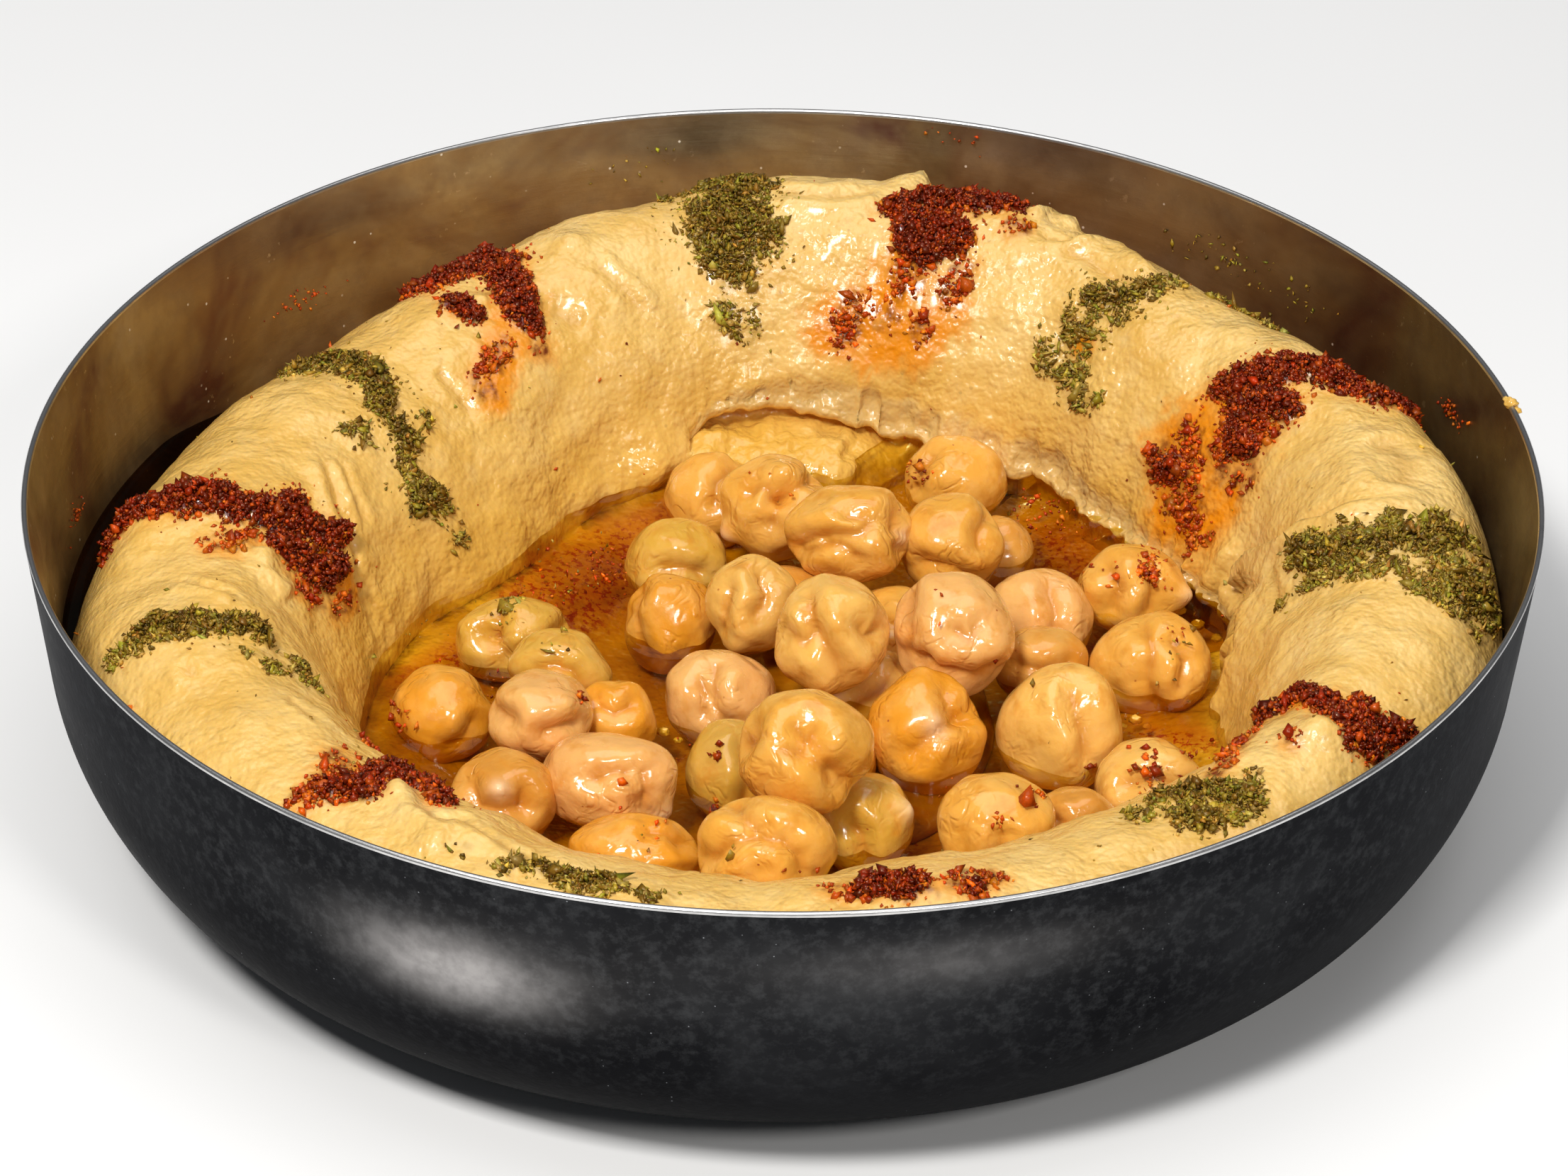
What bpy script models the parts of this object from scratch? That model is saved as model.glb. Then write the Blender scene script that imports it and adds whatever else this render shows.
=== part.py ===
"""A metal bowl of hummus with olive oil, chickpeas and ground spices.

A thin spun bowl holds one thick uneven roll of hummus laid round its wall on a
hummus floor. Olive oil stands in the middle and in a narrow crescent between
the roll and the wall. Cooked chickpeas stand in the oil: one touching heap and
some that lie loose beside it.

Frame: origin at the centre of the bowl's base on the surface it stands on, +Z up.
Sizes below are in millimetres and are turned into metres when a mesh is made.
"""

import math

import bmesh
import bpy
from mathutils import Vector

# ---------------------------------------------------------------- named sizes
MM = 0.001
GAP = 0.35                # clearance between pieces that touch

# bowl
RIM_RADIUS = 80.0         # outside, at the rim
BOWL_HEIGHT = 38.0
SHEET = 1.1               # metal thickness
RIM_EDGE = 0.25           # broken edge of the cut rim
WALL_LEAN = 84.6          # degrees from level, upper wall
WALL_STRAIGHT = 17.0      # height of the straight upper wall
SHOULDER = (25.0, 55.0)   # bend radius, slope at its lower end
CORNER = (14.0, 31.5)     # tighter bend below it, slope at its lower end
ROUND_STEPS = 60          # facets round the bowl and round everything turned in it

# hummus
FLOOR = 5.0               # top of the hummus floor under the oil
OIL_LEVEL = 10.0
GAP_OIL_LEVEL = 19.0      # oil caught between the roll and the wall
# the roll, by azimuth in degrees: foot radius, crest radius, crest height, outer radius, outer height
ROLL = (
    (0, 48.5, 65.0, 31.3, 77.5, 19.0),
    (15, 51.5, 65.5, 33.0, 77.5, 20.5),
    (30, 49.0, 64.5, 33.0, 77.5, 16.0),
    (45, 48.0, 63.0, 32.2, 76.0, 14.0),
    (60, 49.5, 65.5, 34.0, 77.5, 15.0),
    (75, 48.0, 66.0, 34.5, 77.5, 14.0),
    (90, 47.0, 66.5, 34.5, 77.5, 14.0),
    (105, 44.5, 64.5, 33.7, 76.5, 14.0),
    (120, 41.5, 61.5, 31.5, 75.0, 13.0),
    (135, 37.5, 59.5, 30.0, 74.0, 12.0),
    (150, 37.5, 59.5, 29.5, 74.0, 12.0),
    (165, 41.0, 60.0, 29.5, 74.5, 12.0),
    (180, 43.5, 61.5, 29.5, 76.5, 13.0),
    (195, 46.0, 62.5, 28.5, 77.5, 14.0),
    (210, 47.0, 62.5, 28.0, 77.5, 14.0),
    (225, 46.0, 63.0, 28.0, 77.5, 14.0),
    (240, 46.0, 65.0, 28.2, 77.5, 14.0),
    (255, 46.0, 66.0, 28.0, 77.5, 14.0),
    (270, 46.0, 66.0, 28.0, 77.5, 14.0),
    (285, 46.0, 66.0, 28.2, 77.5, 14.0),
    (300, 46.5, 64.5, 28.0, 77.5, 14.0),
    (315, 49.0, 63.5, 28.3, 77.5, 14.0),
    (330, 52.0, 63.5, 28.8, 77.5, 14.0),
    (345, 50.0, 64.0, 30.0, 77.5, 16.5),
)
INNER_FULLNESS = 1.9      # superellipse power of the face towards the oil
OUTER_FULLNESS = 2.0
RIPPLE = (0.5, 9, 0.35, 17)   # spoon marks round the crest: height, count, height, count
SEAM = (9.0, 5.0, 1.6)    # azimuth, width in degrees and step where one end laps the other
# a shelf of hummus under the torn overhang at the back
SHELF = dict(centre=88.0, half=13.0, fade=5.0, front=43.0, top=11.3, root=54.0, lip=51.0, lip_z=16.0)

# chickpeas: x, y, centre height, radius, of those that touch in the heap
HEAP = (
    (-1, 26, 15, 6.7), (-8, 33, 11, 6.0), (7, 17, 18, 6.6), (19, 19, 15, 6.2), (19, 37, 11, 6.0),
    (-12, 21, 11, 5.8), (-12, 9, 11, 5.9), (-3, 5, 15, 5.8), (5, -5, 19, 6.8),
    (18, -3, 18, 7.0), (28, 10, 11, 5.8), (28, 0, 11, 5.2), (-6, -6, 11, 6.3), (3, -29, 19, 7.0),
    (16, -14, 12, 6.6), (29, -12, 12, 6.8), (-4, -20, 11, 5.8), (9, -29, 11, 5.9),
    (-1, -38, 14, 6.4), (22, -32, 13, 6.2), (28, -27, 10, 4.4),
)
HEAP_CENTRE = (9.0, -2.0)
HEAP_CORE_TOP = 14.0
CORE_STEPS = 24
BALL_COLUMNS = 8
BALL_ROWS = 6
# chickpeas that lie apart: x, y, length, width, height, turn in degrees
LOOSE = (
    (39.0, -22.5, 12.4, 11.0, 11.4, 60),
    (40.3, 1.0, 12.8, 11.6, 11.6, 20),
    (39.2, 15.6, 12.4, 10.4, 10.6, 150),
    (-18.2, -22.8, 13.0, 10.4, 11.0, 170),
    (-29.4, -25.6, 11.4, 10.2, 10.8, 100),
    (-37.2, -10.6, 11.4, 10.4, 11.0, 30),
    (-25.0, -13.4, 11.0, 9.6, 12.0, 10),
    (-24.6, -1.6, 10.8, 9.8, 11.4, 75),
    (-31.4, 8.0, 12.4, 10.6, 11.0, 165),
    (-14.6, -36.4, 13.4, 10.0, 10.4, 175),
    (-15.2, -11.2, 7.4, 7.4, 8.4, 40),
)


# ---------------------------------------------------------------- helpers
def smooth(x):
    x = min(1.0, max(0.0, x))
    return x * x * (3 - 2 * x)


def turn_to(az, other):
    """Degrees from other to az, between -180 and 180."""
    return (az - other + 180) % 360 - 180


def round_table(table, az):
    """The table's row at this azimuth, on a smooth closed curve through its rows."""
    count = len(table)
    step = 360 / count
    at = (az % 360) / step
    i = int(at)
    t = at - i
    p = [table[(i + k - 1) % count][1:] for k in range(4)]
    return [
        0.5 * (2 * b + (c - a) * t + (2 * a - 5 * b + 4 * c - d) * t * t + (3 * b - a - 3 * c + d) * t ** 3)
        for a, b, c, d in zip(*p)
    ]


def outside_profile():
    """(radius, height) down the outside of the bowl, from its rim to the edge of its flat base."""
    lean = math.radians(WALL_LEAN)
    r, z, slope = RIM_RADIUS, BOWL_HEIGHT, WALL_LEAN
    points = [(r, z)]
    r, z = r - WALL_STRAIGHT / math.tan(lean), z - WALL_STRAIGHT
    points.append((r, z))
    base = CORNER[1]
    for radius, end, steps in ((*SHOULDER, 3), (*CORNER, 2), (None, 0.0, 2)):
        if radius is None:
            radius = z / (1 - math.cos(math.radians(base)))
        for k in range(1, steps + 1):
            a, b = math.radians(slope), math.radians(slope + (end - slope) * k / steps)
            points.append((r - radius * (math.sin(a) - math.sin(b)), z - radius * (math.cos(b) - math.cos(a))))
        slope, (r, z) = end, points[-1]
    return points


def inside_profile(clear=0.0):
    """The same on the inside, moved a further clear millimetres in from the metal."""
    out = outside_profile()
    points = []
    for i, (r, z) in enumerate(out):
        a, b = out[max(i - 1, 0)], out[min(i + 1, len(out) - 1)]
        dr, dz = b[0] - a[0], b[1] - a[1]
        if i == len(out) - 1:
            dr, dz = -1.0, 0.0
        size = math.hypot(dr, dz)
        points.append((r + (SHEET + clear) * dz / size, z - (SHEET + clear) * dr / size))
    points[0] = (points[0][0], BOWL_HEIGHT)
    return points


def wall_radius(z, clear):
    """Inside radius of the bowl at this height."""
    points = inside_profile(clear)
    for (ra, za), (rb, zb) in zip(points, points[1:]):
        if zb <= z <= za:
            return rb + (ra - rb) * (z - zb) / (za - zb)
    return points[0][0] if z > points[0][1] else points[-1][0]


def hummus_section(az):
    """(radius, height) from the middle of the floor, over the roll and back under it to the middle."""
    foot, crest, top, out, out_z = round_table(ROLL, az)
    a = math.radians(az)
    top += RIPPLE[0] * math.sin(RIPPLE[1] * a + 1.0) + RIPPLE[2] * math.sin(RIPPLE[3] * a)
    foot += SEAM[2] * math.exp(-((turn_to(az, SEAM[0] + SEAM[1]) / SEAM[1]) ** 2))
    foot -= SEAM[2] * math.exp(-((turn_to(az, SEAM[0] - SEAM[1]) / SEAM[1]) ** 2))
    rows = [(0.0, FLOOR), (0.5 * foot, FLOOR), (foot - 3.0, FLOOR + 0.2), (foot - 0.7, FLOOR + 1.2)]
    power = 2 / INNER_FULLNESS
    for angle in (12, 24, 37, 50, 63, 76, 90):
        c, s = abs(math.cos(math.radians(angle))) ** power, math.sin(math.radians(angle)) ** power
        if angle == 90:
            c = 0.0
        rows.append((crest - (crest - foot) * c, FLOOR + (top - FLOOR) * s))
    # the shelf and the overhang above it replace the lower part of the face
    w = smooth((SHELF["half"] + SHELF["fade"] - abs(turn_to(az, SHELF["centre"]))) / SHELF["fade"])
    if w > 0:
        front, height, root, lip, lip_z = (SHELF[k] for k in ("front", "top", "root", "lip", "lip_z"))
        shelf = {2: (front - 2.0, FLOOR + 0.2), 3: (front - 0.4, FLOOR + 1.6), 4: (front + 0.6, height - 1.2),
                 5: (0.5 * (front + root), height), 6: (root, height + 0.9), 7: (lip, lip_z)}
        shelf[8] = (lip + 1.6, lip_z + 6.5)
        shelf[9] = (0.5 * (lip + crest) + 0.2, lip_z + 0.78 * (top - lip_z))
        for k, (r, z) in shelf.items():
            rows[k] = (rows[k][0] + (r - rows[k][0]) * w, rows[k][1] + (z - rows[k][1]) * w)
    power = 2 / OUTER_FULLNESS
    for angle in (22, 42, 60, 76, 90):
        s, c = math.sin(math.radians(angle)) ** power, abs(math.cos(math.radians(angle))) ** power
        if angle == 90:
            c = 0.0
        z = out_z + (top - out_z) * c
        rows.append((min(crest + (out - crest) * s, wall_radius(z, GAP)), z))
    inside = inside_profile(GAP)
    lowest = min(out_z, rows[-1][1]) - 0.8
    rows += [(r, z) for r, z in inside if z < lowest and r > inside[-1][0] + 0.01]
    rows += [inside[-1], (0.5 * inside[-1][0], inside[-1][1]), (0.0, inside[-1][1])]
    return rows


def even_sections():
    """hummus_section at each facet, all with the same number of rows."""
    sections = [hummus_section(360 * j / ROUND_STEPS) for j in range(ROUND_STEPS)]
    count = min(len(s) for s in sections)
    tail = 3
    return [s[: count - tail] + s[-tail:] if len(s) > count else s for s in sections]


def new_material(name, colour, rough, metal=0.0, alpha=1.0):
    material = bpy.data.materials.new(name)
    material.use_nodes = True
    shader = material.node_tree.nodes["Principled BSDF"]
    shader.inputs["Base Color"].default_value = (*colour, 1.0)
    shader.inputs["Roughness"].default_value = rough
    shader.inputs["Metallic"].default_value = metal
    shader.inputs["Alpha"].default_value = alpha
    material.diffuse_color = (*colour, alpha)
    return material


def add_object(name, bm, material, collection, parent, cutter=False):
    bmesh.ops.recalc_face_normals(bm, faces=bm.faces)
    mesh = bpy.data.meshes.new(name)
    bm.to_mesh(mesh)
    bm.free()
    obj = bpy.data.objects.new(name, mesh)
    collection.objects.link(obj)
    obj.parent = parent
    if material:
        mesh.materials.append(material)
    if cutter:
        obj.hide_render = True
        obj.display_type = "WIRE"
    else:
        mesh.shade_smooth()
        mesh.set_sharp_from_angle(angle=math.radians(50))
    return obj


def shaped_ball(columns, rows, place):
    """A UV sphere whose point in column j of row k, counted down from the top pole, moves to place(j, k)."""
    bm = bmesh.new()
    bmesh.ops.create_uvsphere(bm, u_segments=columns, v_segments=rows, radius=1.0)
    for v in bm.verts:
        k = round(math.acos(max(-1.0, min(1.0, v.co.z))) / math.pi * rows)
        j = round(math.atan2(v.co.y, v.co.x) / (2 * math.pi) * columns) % columns
        x, y, z = place(j, k)
        v.co = Vector((x, y, z)) * MM
    return bm


# ---------------------------------------------------------------- pieces
def make_bowl(collection, parent):
    outside = outside_profile()
    inside = inside_profile()
    outer = [(RIM_RADIUS, BOWL_HEIGHT - RIM_EDGE)] + outside[1:] + [(0.0, 0.0)]
    inner = [(0.0, inside[-1][1])] + inside[:0:-1] + [(inside[0][0], BOWL_HEIGHT - RIM_EDGE)]
    rim = [(inside[0][0] + RIM_EDGE, BOWL_HEIGHT), (RIM_RADIUS - RIM_EDGE, BOWL_HEIGHT)]
    chain = inner + rim + outer
    bm = bmesh.new()
    verts = [bm.verts.new((r * MM, 0.0, z * MM)) for r, z in chain]
    for a, b in zip(verts, verts[1:]):
        bm.edges.new((a, b))
    mesh = bpy.data.meshes.new("bowl")
    bm.to_mesh(mesh)
    bm.free()
    mesh.materials.append(new_material("bowl_metal", (0.055, 0.057, 0.062), 0.42, 0.85))
    obj = bpy.data.objects.new("bowl", mesh)
    collection.objects.link(obj)
    obj.parent = parent
    screw = obj.modifiers.new("turn", "SCREW")
    screw.steps = screw.render_steps = ROUND_STEPS
    screw.use_merge_vertices = True
    screw.merge_threshold = 0.00005
    screw.use_smooth_shade = True
    return obj


def make_hummus(collection, parent):
    sections = even_sections()

    def place(j, k):
        r, z = sections[j][k]
        a = 2 * math.pi * j / ROUND_STEPS
        return r * math.cos(a), r * math.sin(a), z

    bm = shaped_ball(ROUND_STEPS, len(sections[0]) - 1, place)
    return add_object("hummus", bm, new_material("hummus", (0.70, 0.50, 0.20), 0.45), collection, parent)


def face_radius(section, z):
    """Radius of the roll's inner face at this height, the first one met from the middle."""
    for (ra, za), (rb, zb) in zip(section[1:], section[2:]):
        if za <= z <= zb and zb > za:
            return ra + (rb - ra) * (z - za) / (zb - za)
    return section[3][0]


def back_radius(section, z):
    """Radius of the roll's outer face at this height."""
    top = max(range(len(section)), key=lambda k: section[k][1])
    for (ra, za), (rb, zb) in zip(section[top:], section[top + 1:]):
        if zb <= z <= za and za > zb:
            return rb + (ra - rb) * (z - zb) / (za - zb)
    return section[top][0]


def heap_balls():
    """The heap's chickpeas as (x, y, z, radius), each lifted clear of the floor."""
    return [(x, y, max(z, FLOOR + GAP + r), r) for x, y, z, r in HEAP]


def core_reach(angle):
    """How far the filled middle of the heap reaches from its centre in this direction."""
    dx, dy = math.cos(angle), math.sin(angle)
    far = 8.0
    for cx, cy, _, r in HEAP:
        px, py = cx - HEAP_CENTRE[0], cy - HEAP_CENTRE[1]
        along, across = px * dx + py * dy, abs(px * dy - py * dx)
        if across < 0.8 * r:
            far = max(far, along)
    return far


def heap_core(low, high, wider=0.0):
    """A closed drum under the heap's chickpeas that fills what can't be seen between them."""

    def place(j, k):
        a = 2 * math.pi * j / CORE_STEPS
        r = (core_reach(a) + wider) * (0.0, 0.8 if wider == 0 else 1.0, 1.0, 0.0)[k]
        z = (high, high, low, low)[k]
        return HEAP_CENTRE[0] + r * math.cos(a), HEAP_CENTRE[1] + r * math.sin(a), z

    return shaped_ball(CORE_STEPS, 3, place)


def make_heap(collection, cutters, parent):
    obj = add_object(
        "chickpea_heap", heap_core(FLOOR + GAP, HEAP_CORE_TOP), new_material("chickpea", (0.70, 0.42, 0.17), 0.3), collection, parent
    )
    for n, (x, y, z, radius) in enumerate(heap_balls(), 1):
        turn = 2.4 * n

        def place(j, k):
            u = 2 * math.pi * j / BALL_COLUMNS + turn
            v = math.pi * k / BALL_ROWS
            return radius * math.sin(v) * math.cos(u), radius * math.sin(v) * math.sin(u), radius * math.cos(v)

        ball = add_object(f"heap_ball_{n:02d}", shaped_ball(BALL_COLUMNS, BALL_ROWS, place), None, cutters, parent, cutter=True)
        ball.location = Vector((x, y, z)) * MM
        join = obj.modifiers.new(ball.name, "BOOLEAN")
        join.operation = "UNION"
        join.object = ball
        join.solver = "EXACT"
    return obj


def make_loose(collection, parent, material):
    made = []
    for n, (x, y, length, width, height, turn) in enumerate(LOOSE, 1):
        columns, rows = 9, 7

        def place(j, k):
            u = 2 * math.pi * j / columns
            v = math.pi * k / rows
            px, py, pz = math.sin(v) * math.cos(u), math.sin(v) * math.sin(u), math.cos(v)
            beak = 1.0 + 0.10 * max(0.0, px) ** 4
            cleft = 1.0 - 0.06 * max(0.0, pz) * math.exp(-((py / 0.3) ** 2))
            return 0.5 * length * px * beak, 0.5 * width * py, 0.5 * height * pz * cleft

        bm = shaped_ball(columns, rows, place)
        obj = add_object(f"chickpea_{n:02d}", bm, material, collection, parent)
        obj.location = Vector((x, y, FLOOR + GAP + 0.5 * height)) * MM
        obj.rotation_euler = (0.0, 0.0, math.radians(turn))
        made.append(obj)
    return made


def make_oil(collection, cutters, parent):
    sections = even_sections()
    clear = []
    for s in sections:
        clear.append((face_radius(s, OIL_LEVEL) - GAP, face_radius(s, 0.5 * (OIL_LEVEL + FLOOR)) - GAP, s[3][0] - GAP, s[2][0] - GAP))

    def place(j, k):
        top, middle, foot, flat = clear[j]
        r, z = (
            (0.0, OIL_LEVEL),
            (top, OIL_LEVEL),
            (middle, 0.5 * (OIL_LEVEL + FLOOR)),
            (foot - 0.3, FLOOR + 1.5),
            (flat, FLOOR + 0.2 + GAP),
            (0.0, FLOOR + GAP),
        )[k]
        a = 2 * math.pi * j / ROUND_STEPS
        return r * math.cos(a), r * math.sin(a), z

    bm = shaped_ball(ROUND_STEPS, 5, place)
    oil = add_object("oil_pool", bm, new_material("olive_oil", (0.55, 0.28, 0.03), 0.06, alpha=0.55), collection, parent)

    holes = [add_object("cut_heap", heap_core(0.0, 15.0, 1.0), None, cutters, parent, cutter=True)]
    for n, (x, y, z, radius) in enumerate(heap_balls(), 1):
        if z - radius > OIL_LEVEL - 1.0:
            continue
        bm = bmesh.new()
        waist = math.sqrt(radius ** 2 - max(0.0, z - OIL_LEVEL) ** 2) * 1.02 + 0.3
        bmesh.ops.create_cone(bm, cap_ends=True, segments=8, radius1=waist * MM, radius2=waist * MM, depth=20 * MM)
        hole = add_object(f"cut_heap_{n:02d}", bm, None, cutters, parent, cutter=True)
        hole.location = Vector((x, y, FLOOR + 8.0)) * MM
        hole.rotation_euler = (0.0, 0.0, 2.4 * n)
        holes.append(hole)
    for n, (x, y, length, width, height, turn) in enumerate(LOOSE, 1):
        bm = bmesh.new()
        bmesh.ops.create_cone(bm, cap_ends=True, segments=8, radius1=MM, radius2=MM, depth=20 * MM)
        centre = FLOOR + GAP + 0.5 * height
        drop = min(1.0, max(0.0, (centre - OIL_LEVEL) / (0.5 * height)))
        waist = math.sqrt(1 - drop * drop)
        for v in bm.verts:
            v.co.x *= 0.5 * length * waist * 1.05 + 1.6 * GAP + 0.2
            v.co.y *= 0.5 * width * waist * 1.05 + 1.6 * GAP + 0.2
        hole = add_object(f"cut_chickpea_{n:02d}", bm, None, cutters, parent, cutter=True)
        hole.location = Vector((x, y, FLOOR + 8.0)) * MM
        hole.rotation_euler = (0.0, 0.0, math.radians(turn))
        holes.append(hole)
    for hole in holes:
        cut = oil.modifiers.new(hole.name, "BOOLEAN")
        cut.operation = "DIFFERENCE"
        cut.object = hole
        cut.solver = "EXACT"
    return oil


def make_gap_oil(collection, parent, material):
    """A crescent between the roll's outer face and the wall: a loft of four-sided sections along the wall."""
    sections = even_sections()
    cells = []
    for j, s in enumerate(sections):
        az = 360 * j / ROUND_STEPS
        if not 130 < az < 200:
            continue
        inner = back_radius(s, GAP_OIL_LEVEL) + GAP + 0.1
        outer = wall_radius(GAP_OIL_LEVEL, GAP)
        if outer - inner < 1.2:
            continue
        z = GAP_OIL_LEVEL
        while z > 10.0 and wall_radius(z, GAP) - back_radius(s, z) - GAP > 1.0:
            z -= 0.1
        cells.append((math.radians(az), inner, outer, z))
    bm = bmesh.new()
    rings = []
    for a, inner, outer, z in cells:
        low_out = wall_radius(z, GAP)
        corners = ((inner, GAP_OIL_LEVEL), (outer, GAP_OIL_LEVEL), (low_out, z), (low_out - 0.4, z + 0.2))
        rings.append([bm.verts.new((r * math.cos(a) * MM, r * math.sin(a) * MM, h * MM)) for r, h in corners])
    for p, q in zip(rings, rings[1:]):
        for k in range(4):
            bm.faces.new((p[k], p[(k + 1) % 4], q[(k + 1) % 4], q[k]))
    bm.faces.new(rings[0][::-1])
    bm.faces.new(rings[-1])
    return add_object("oil_crescent", bm, material, collection, parent)


def main():
    for obj in list(bpy.data.objects):
        bpy.data.objects.remove(obj, do_unlink=True)
    scene = bpy.context.scene
    parts = bpy.data.collections.new("hummus_bowl")
    cutters = bpy.data.collections.new("cutters")
    scene.collection.children.link(parts)
    scene.collection.children.link(cutters)
    root = bpy.data.objects.new("hummus_bowl_root", None)
    parts.objects.link(root)

    make_bowl(parts, root)
    make_hummus(parts, root)
    heap = make_heap(parts, cutters, root)
    make_loose(parts, root, heap.data.materials[0])
    oil = make_oil(parts, cutters, root)
    make_gap_oil(parts, root, oil.data.materials[0])


main()
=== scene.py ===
"""Looks of the hummus bowl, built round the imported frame. Lengths in the tables are in millimetres."""
import math

import bpy
import numpy as np
from mathutils import Matrix
from mathutils.kdtree import KDTree


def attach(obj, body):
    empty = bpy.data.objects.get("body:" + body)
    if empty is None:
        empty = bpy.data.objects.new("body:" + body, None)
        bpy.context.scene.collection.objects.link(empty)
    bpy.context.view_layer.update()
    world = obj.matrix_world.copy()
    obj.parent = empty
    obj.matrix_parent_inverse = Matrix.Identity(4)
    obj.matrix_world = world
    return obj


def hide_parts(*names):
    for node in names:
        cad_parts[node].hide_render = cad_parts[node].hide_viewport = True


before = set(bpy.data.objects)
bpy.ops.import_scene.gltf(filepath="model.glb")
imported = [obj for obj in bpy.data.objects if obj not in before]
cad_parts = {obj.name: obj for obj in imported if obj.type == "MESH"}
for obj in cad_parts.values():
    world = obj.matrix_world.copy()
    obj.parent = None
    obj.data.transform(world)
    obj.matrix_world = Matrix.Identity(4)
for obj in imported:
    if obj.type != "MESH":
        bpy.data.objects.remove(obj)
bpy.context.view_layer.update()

MM = 0.001

# ------------------------------------------------------------------ shapes: noise
U32 = 0xFFFFFFFF


def lattice(ix, iy, iz, seed):
    h = (ix * 374761393 + iy * 668265263 + iz * 1274126177 + seed * 974634777) & U32
    h = ((h ^ (h >> 13)) * 1103515245) & U32
    h = ((h ^ (h >> 16)) * 2654435761) & U32
    return h ^ (h >> 15)


def noise(p, size, seed=0):
    """Smooth gradient noise of feature size `size` at the points p, about -1 to 1."""
    q = np.asarray(p, float) / size
    cell = np.floor(q).astype(np.int64)
    f = q - cell
    w = f * f * f * (f * (f * 6 - 15) + 10)
    total = np.zeros(len(q))
    for dx in (0, 1):
        for dy in (0, 1):
            for dz in (0, 1):
                h = lattice(cell[:, 0] + dx, cell[:, 1] + dy, cell[:, 2] + dz, seed)
                gx = (h & 1023) / 511.5 - 1
                gy = ((h >> 10) & 1023) / 511.5 - 1
                gz = ((h >> 20) & 1023) / 511.5 - 1
                dot = gx * (f[:, 0] - dx) + gy * (f[:, 1] - dy) + gz * (f[:, 2] - dz)
                wx = w[:, 0] if dx else 1 - w[:, 0]
                wy = w[:, 1] if dy else 1 - w[:, 1]
                wz = w[:, 2] if dz else 1 - w[:, 2]
                total += dot * wx * wy * wz
    return total * 1.25


def fbm(p, size, octaves=3, seed=0, fall=0.5):
    total, gain = 0.0, 1.0
    for k in range(octaves):
        total = total + gain * noise(p, size / 2 ** k, seed + 17 * k)
        gain *= fall
    return total


def ridge(p, size, seed=0):
    """1 along thin lines, falling to 0 between them."""
    return 1 - np.minimum(1, np.abs(noise(p, size, seed)) * 2.4)


def smooth(x):
    x = np.clip(x, 0, 1)
    return x * x * (3 - 2 * x)


def turn_to(az, other):
    return (az - other + 180) % 360 - 180


def table_at(table, az):
    """Rows of (azimuth, values...) every 360/len degrees, on a smooth closed curve."""
    values = np.array([row[1:] for row in table], float)
    n = len(values)
    at = (np.asarray(az, float) % 360) / (360 / n)
    i = np.floor(at).astype(int)
    t = (at - i)[:, None]
    a, b, c, d = (values[(i + k - 1) % n] for k in range(4))
    return 0.5 * (2 * b + (c - a) * t + (2 * a - 5 * b + 4 * c - d) * t ** 2 + (3 * b - a - 3 * c + d) * t ** 3)


def to_line(p, line):
    """Distance from each point to a polyline, and how far along it, 0 to 1, the nearest place is."""
    line = np.asarray(line, float)
    best, along = np.full(len(p), 1e9), np.zeros(len(p))
    if len(line) == 1:
        return np.linalg.norm(p - line[0], axis=1), along
    sizes = np.linalg.norm(np.diff(line, axis=0), axis=1)
    ends = np.concatenate([[0], np.cumsum(sizes)]) / max(sizes.sum(), 1e-9)
    for k in range(len(line) - 1):
        d = line[k + 1] - line[k]
        t = np.clip((p - line[k]) @ d / max(d @ d, 1e-9), 0, 1)
        far = np.linalg.norm(p - line[k] - t[:, None] * d, axis=1)
        near = far < best
        best[near] = far[near]
        along[near] = (ends[k] + t * (ends[k + 1] - ends[k]))[near]
    return best, along


# ------------------------------------------------------------------ shapes: bowl profile, as in the CAD
RIM_RADIUS, BOWL_HEIGHT, SHEET = 80.0, 38.0, 1.1
WALL_LEAN, WALL_STRAIGHT, SHOULDER, CORNER = 84.6, 17.0, (25.0, 55.0), (14.0, 31.5)


def outside_profile(fine=6):
    r, z, slope = RIM_RADIUS, BOWL_HEIGHT, WALL_LEAN
    lean = math.radians(WALL_LEAN)
    points = []
    for k in range(fine + 1):
        t = k / fine
        points.append((r - t * WALL_STRAIGHT / math.tan(lean), z - t * WALL_STRAIGHT))
    r, z = points[-1]
    for radius, end in (SHOULDER, CORNER, (None, 0.0)):
        if radius is None:
            radius = z / (1 - math.cos(math.radians(slope)))
        for k in range(1, 2 * fine + 1):
            a, b = math.radians(slope), math.radians(slope + (end - slope) * k / (2 * fine))
            points.append((r - radius * (math.sin(a) - math.sin(b)), z - radius * (math.cos(b) - math.cos(a))))
        slope, (r, z) = end, points[-1]
    return points


def inside_profile(clear=0.0, fine=6):
    out = outside_profile(fine)
    points = []
    for i, (r, z) in enumerate(out):
        a, b = out[max(i - 1, 0)], out[min(i + 1, len(out) - 1)]
        dr, dz = b[0] - a[0], b[1] - a[1]
        if i == len(out) - 1:
            dr, dz = -1.0, 0.0
        size = math.hypot(dr, dz)
        points.append((r + (SHEET + clear) * dz / size, z - (SHEET + clear) * dr / size))
    points[0] = (points[0][0], BOWL_HEIGHT)
    return points


INSIDE = np.array(inside_profile())[::-1]


def wall_radius(z):
    return np.interp(z, INSIDE[:, 1], INSIDE[:, 0])


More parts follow.
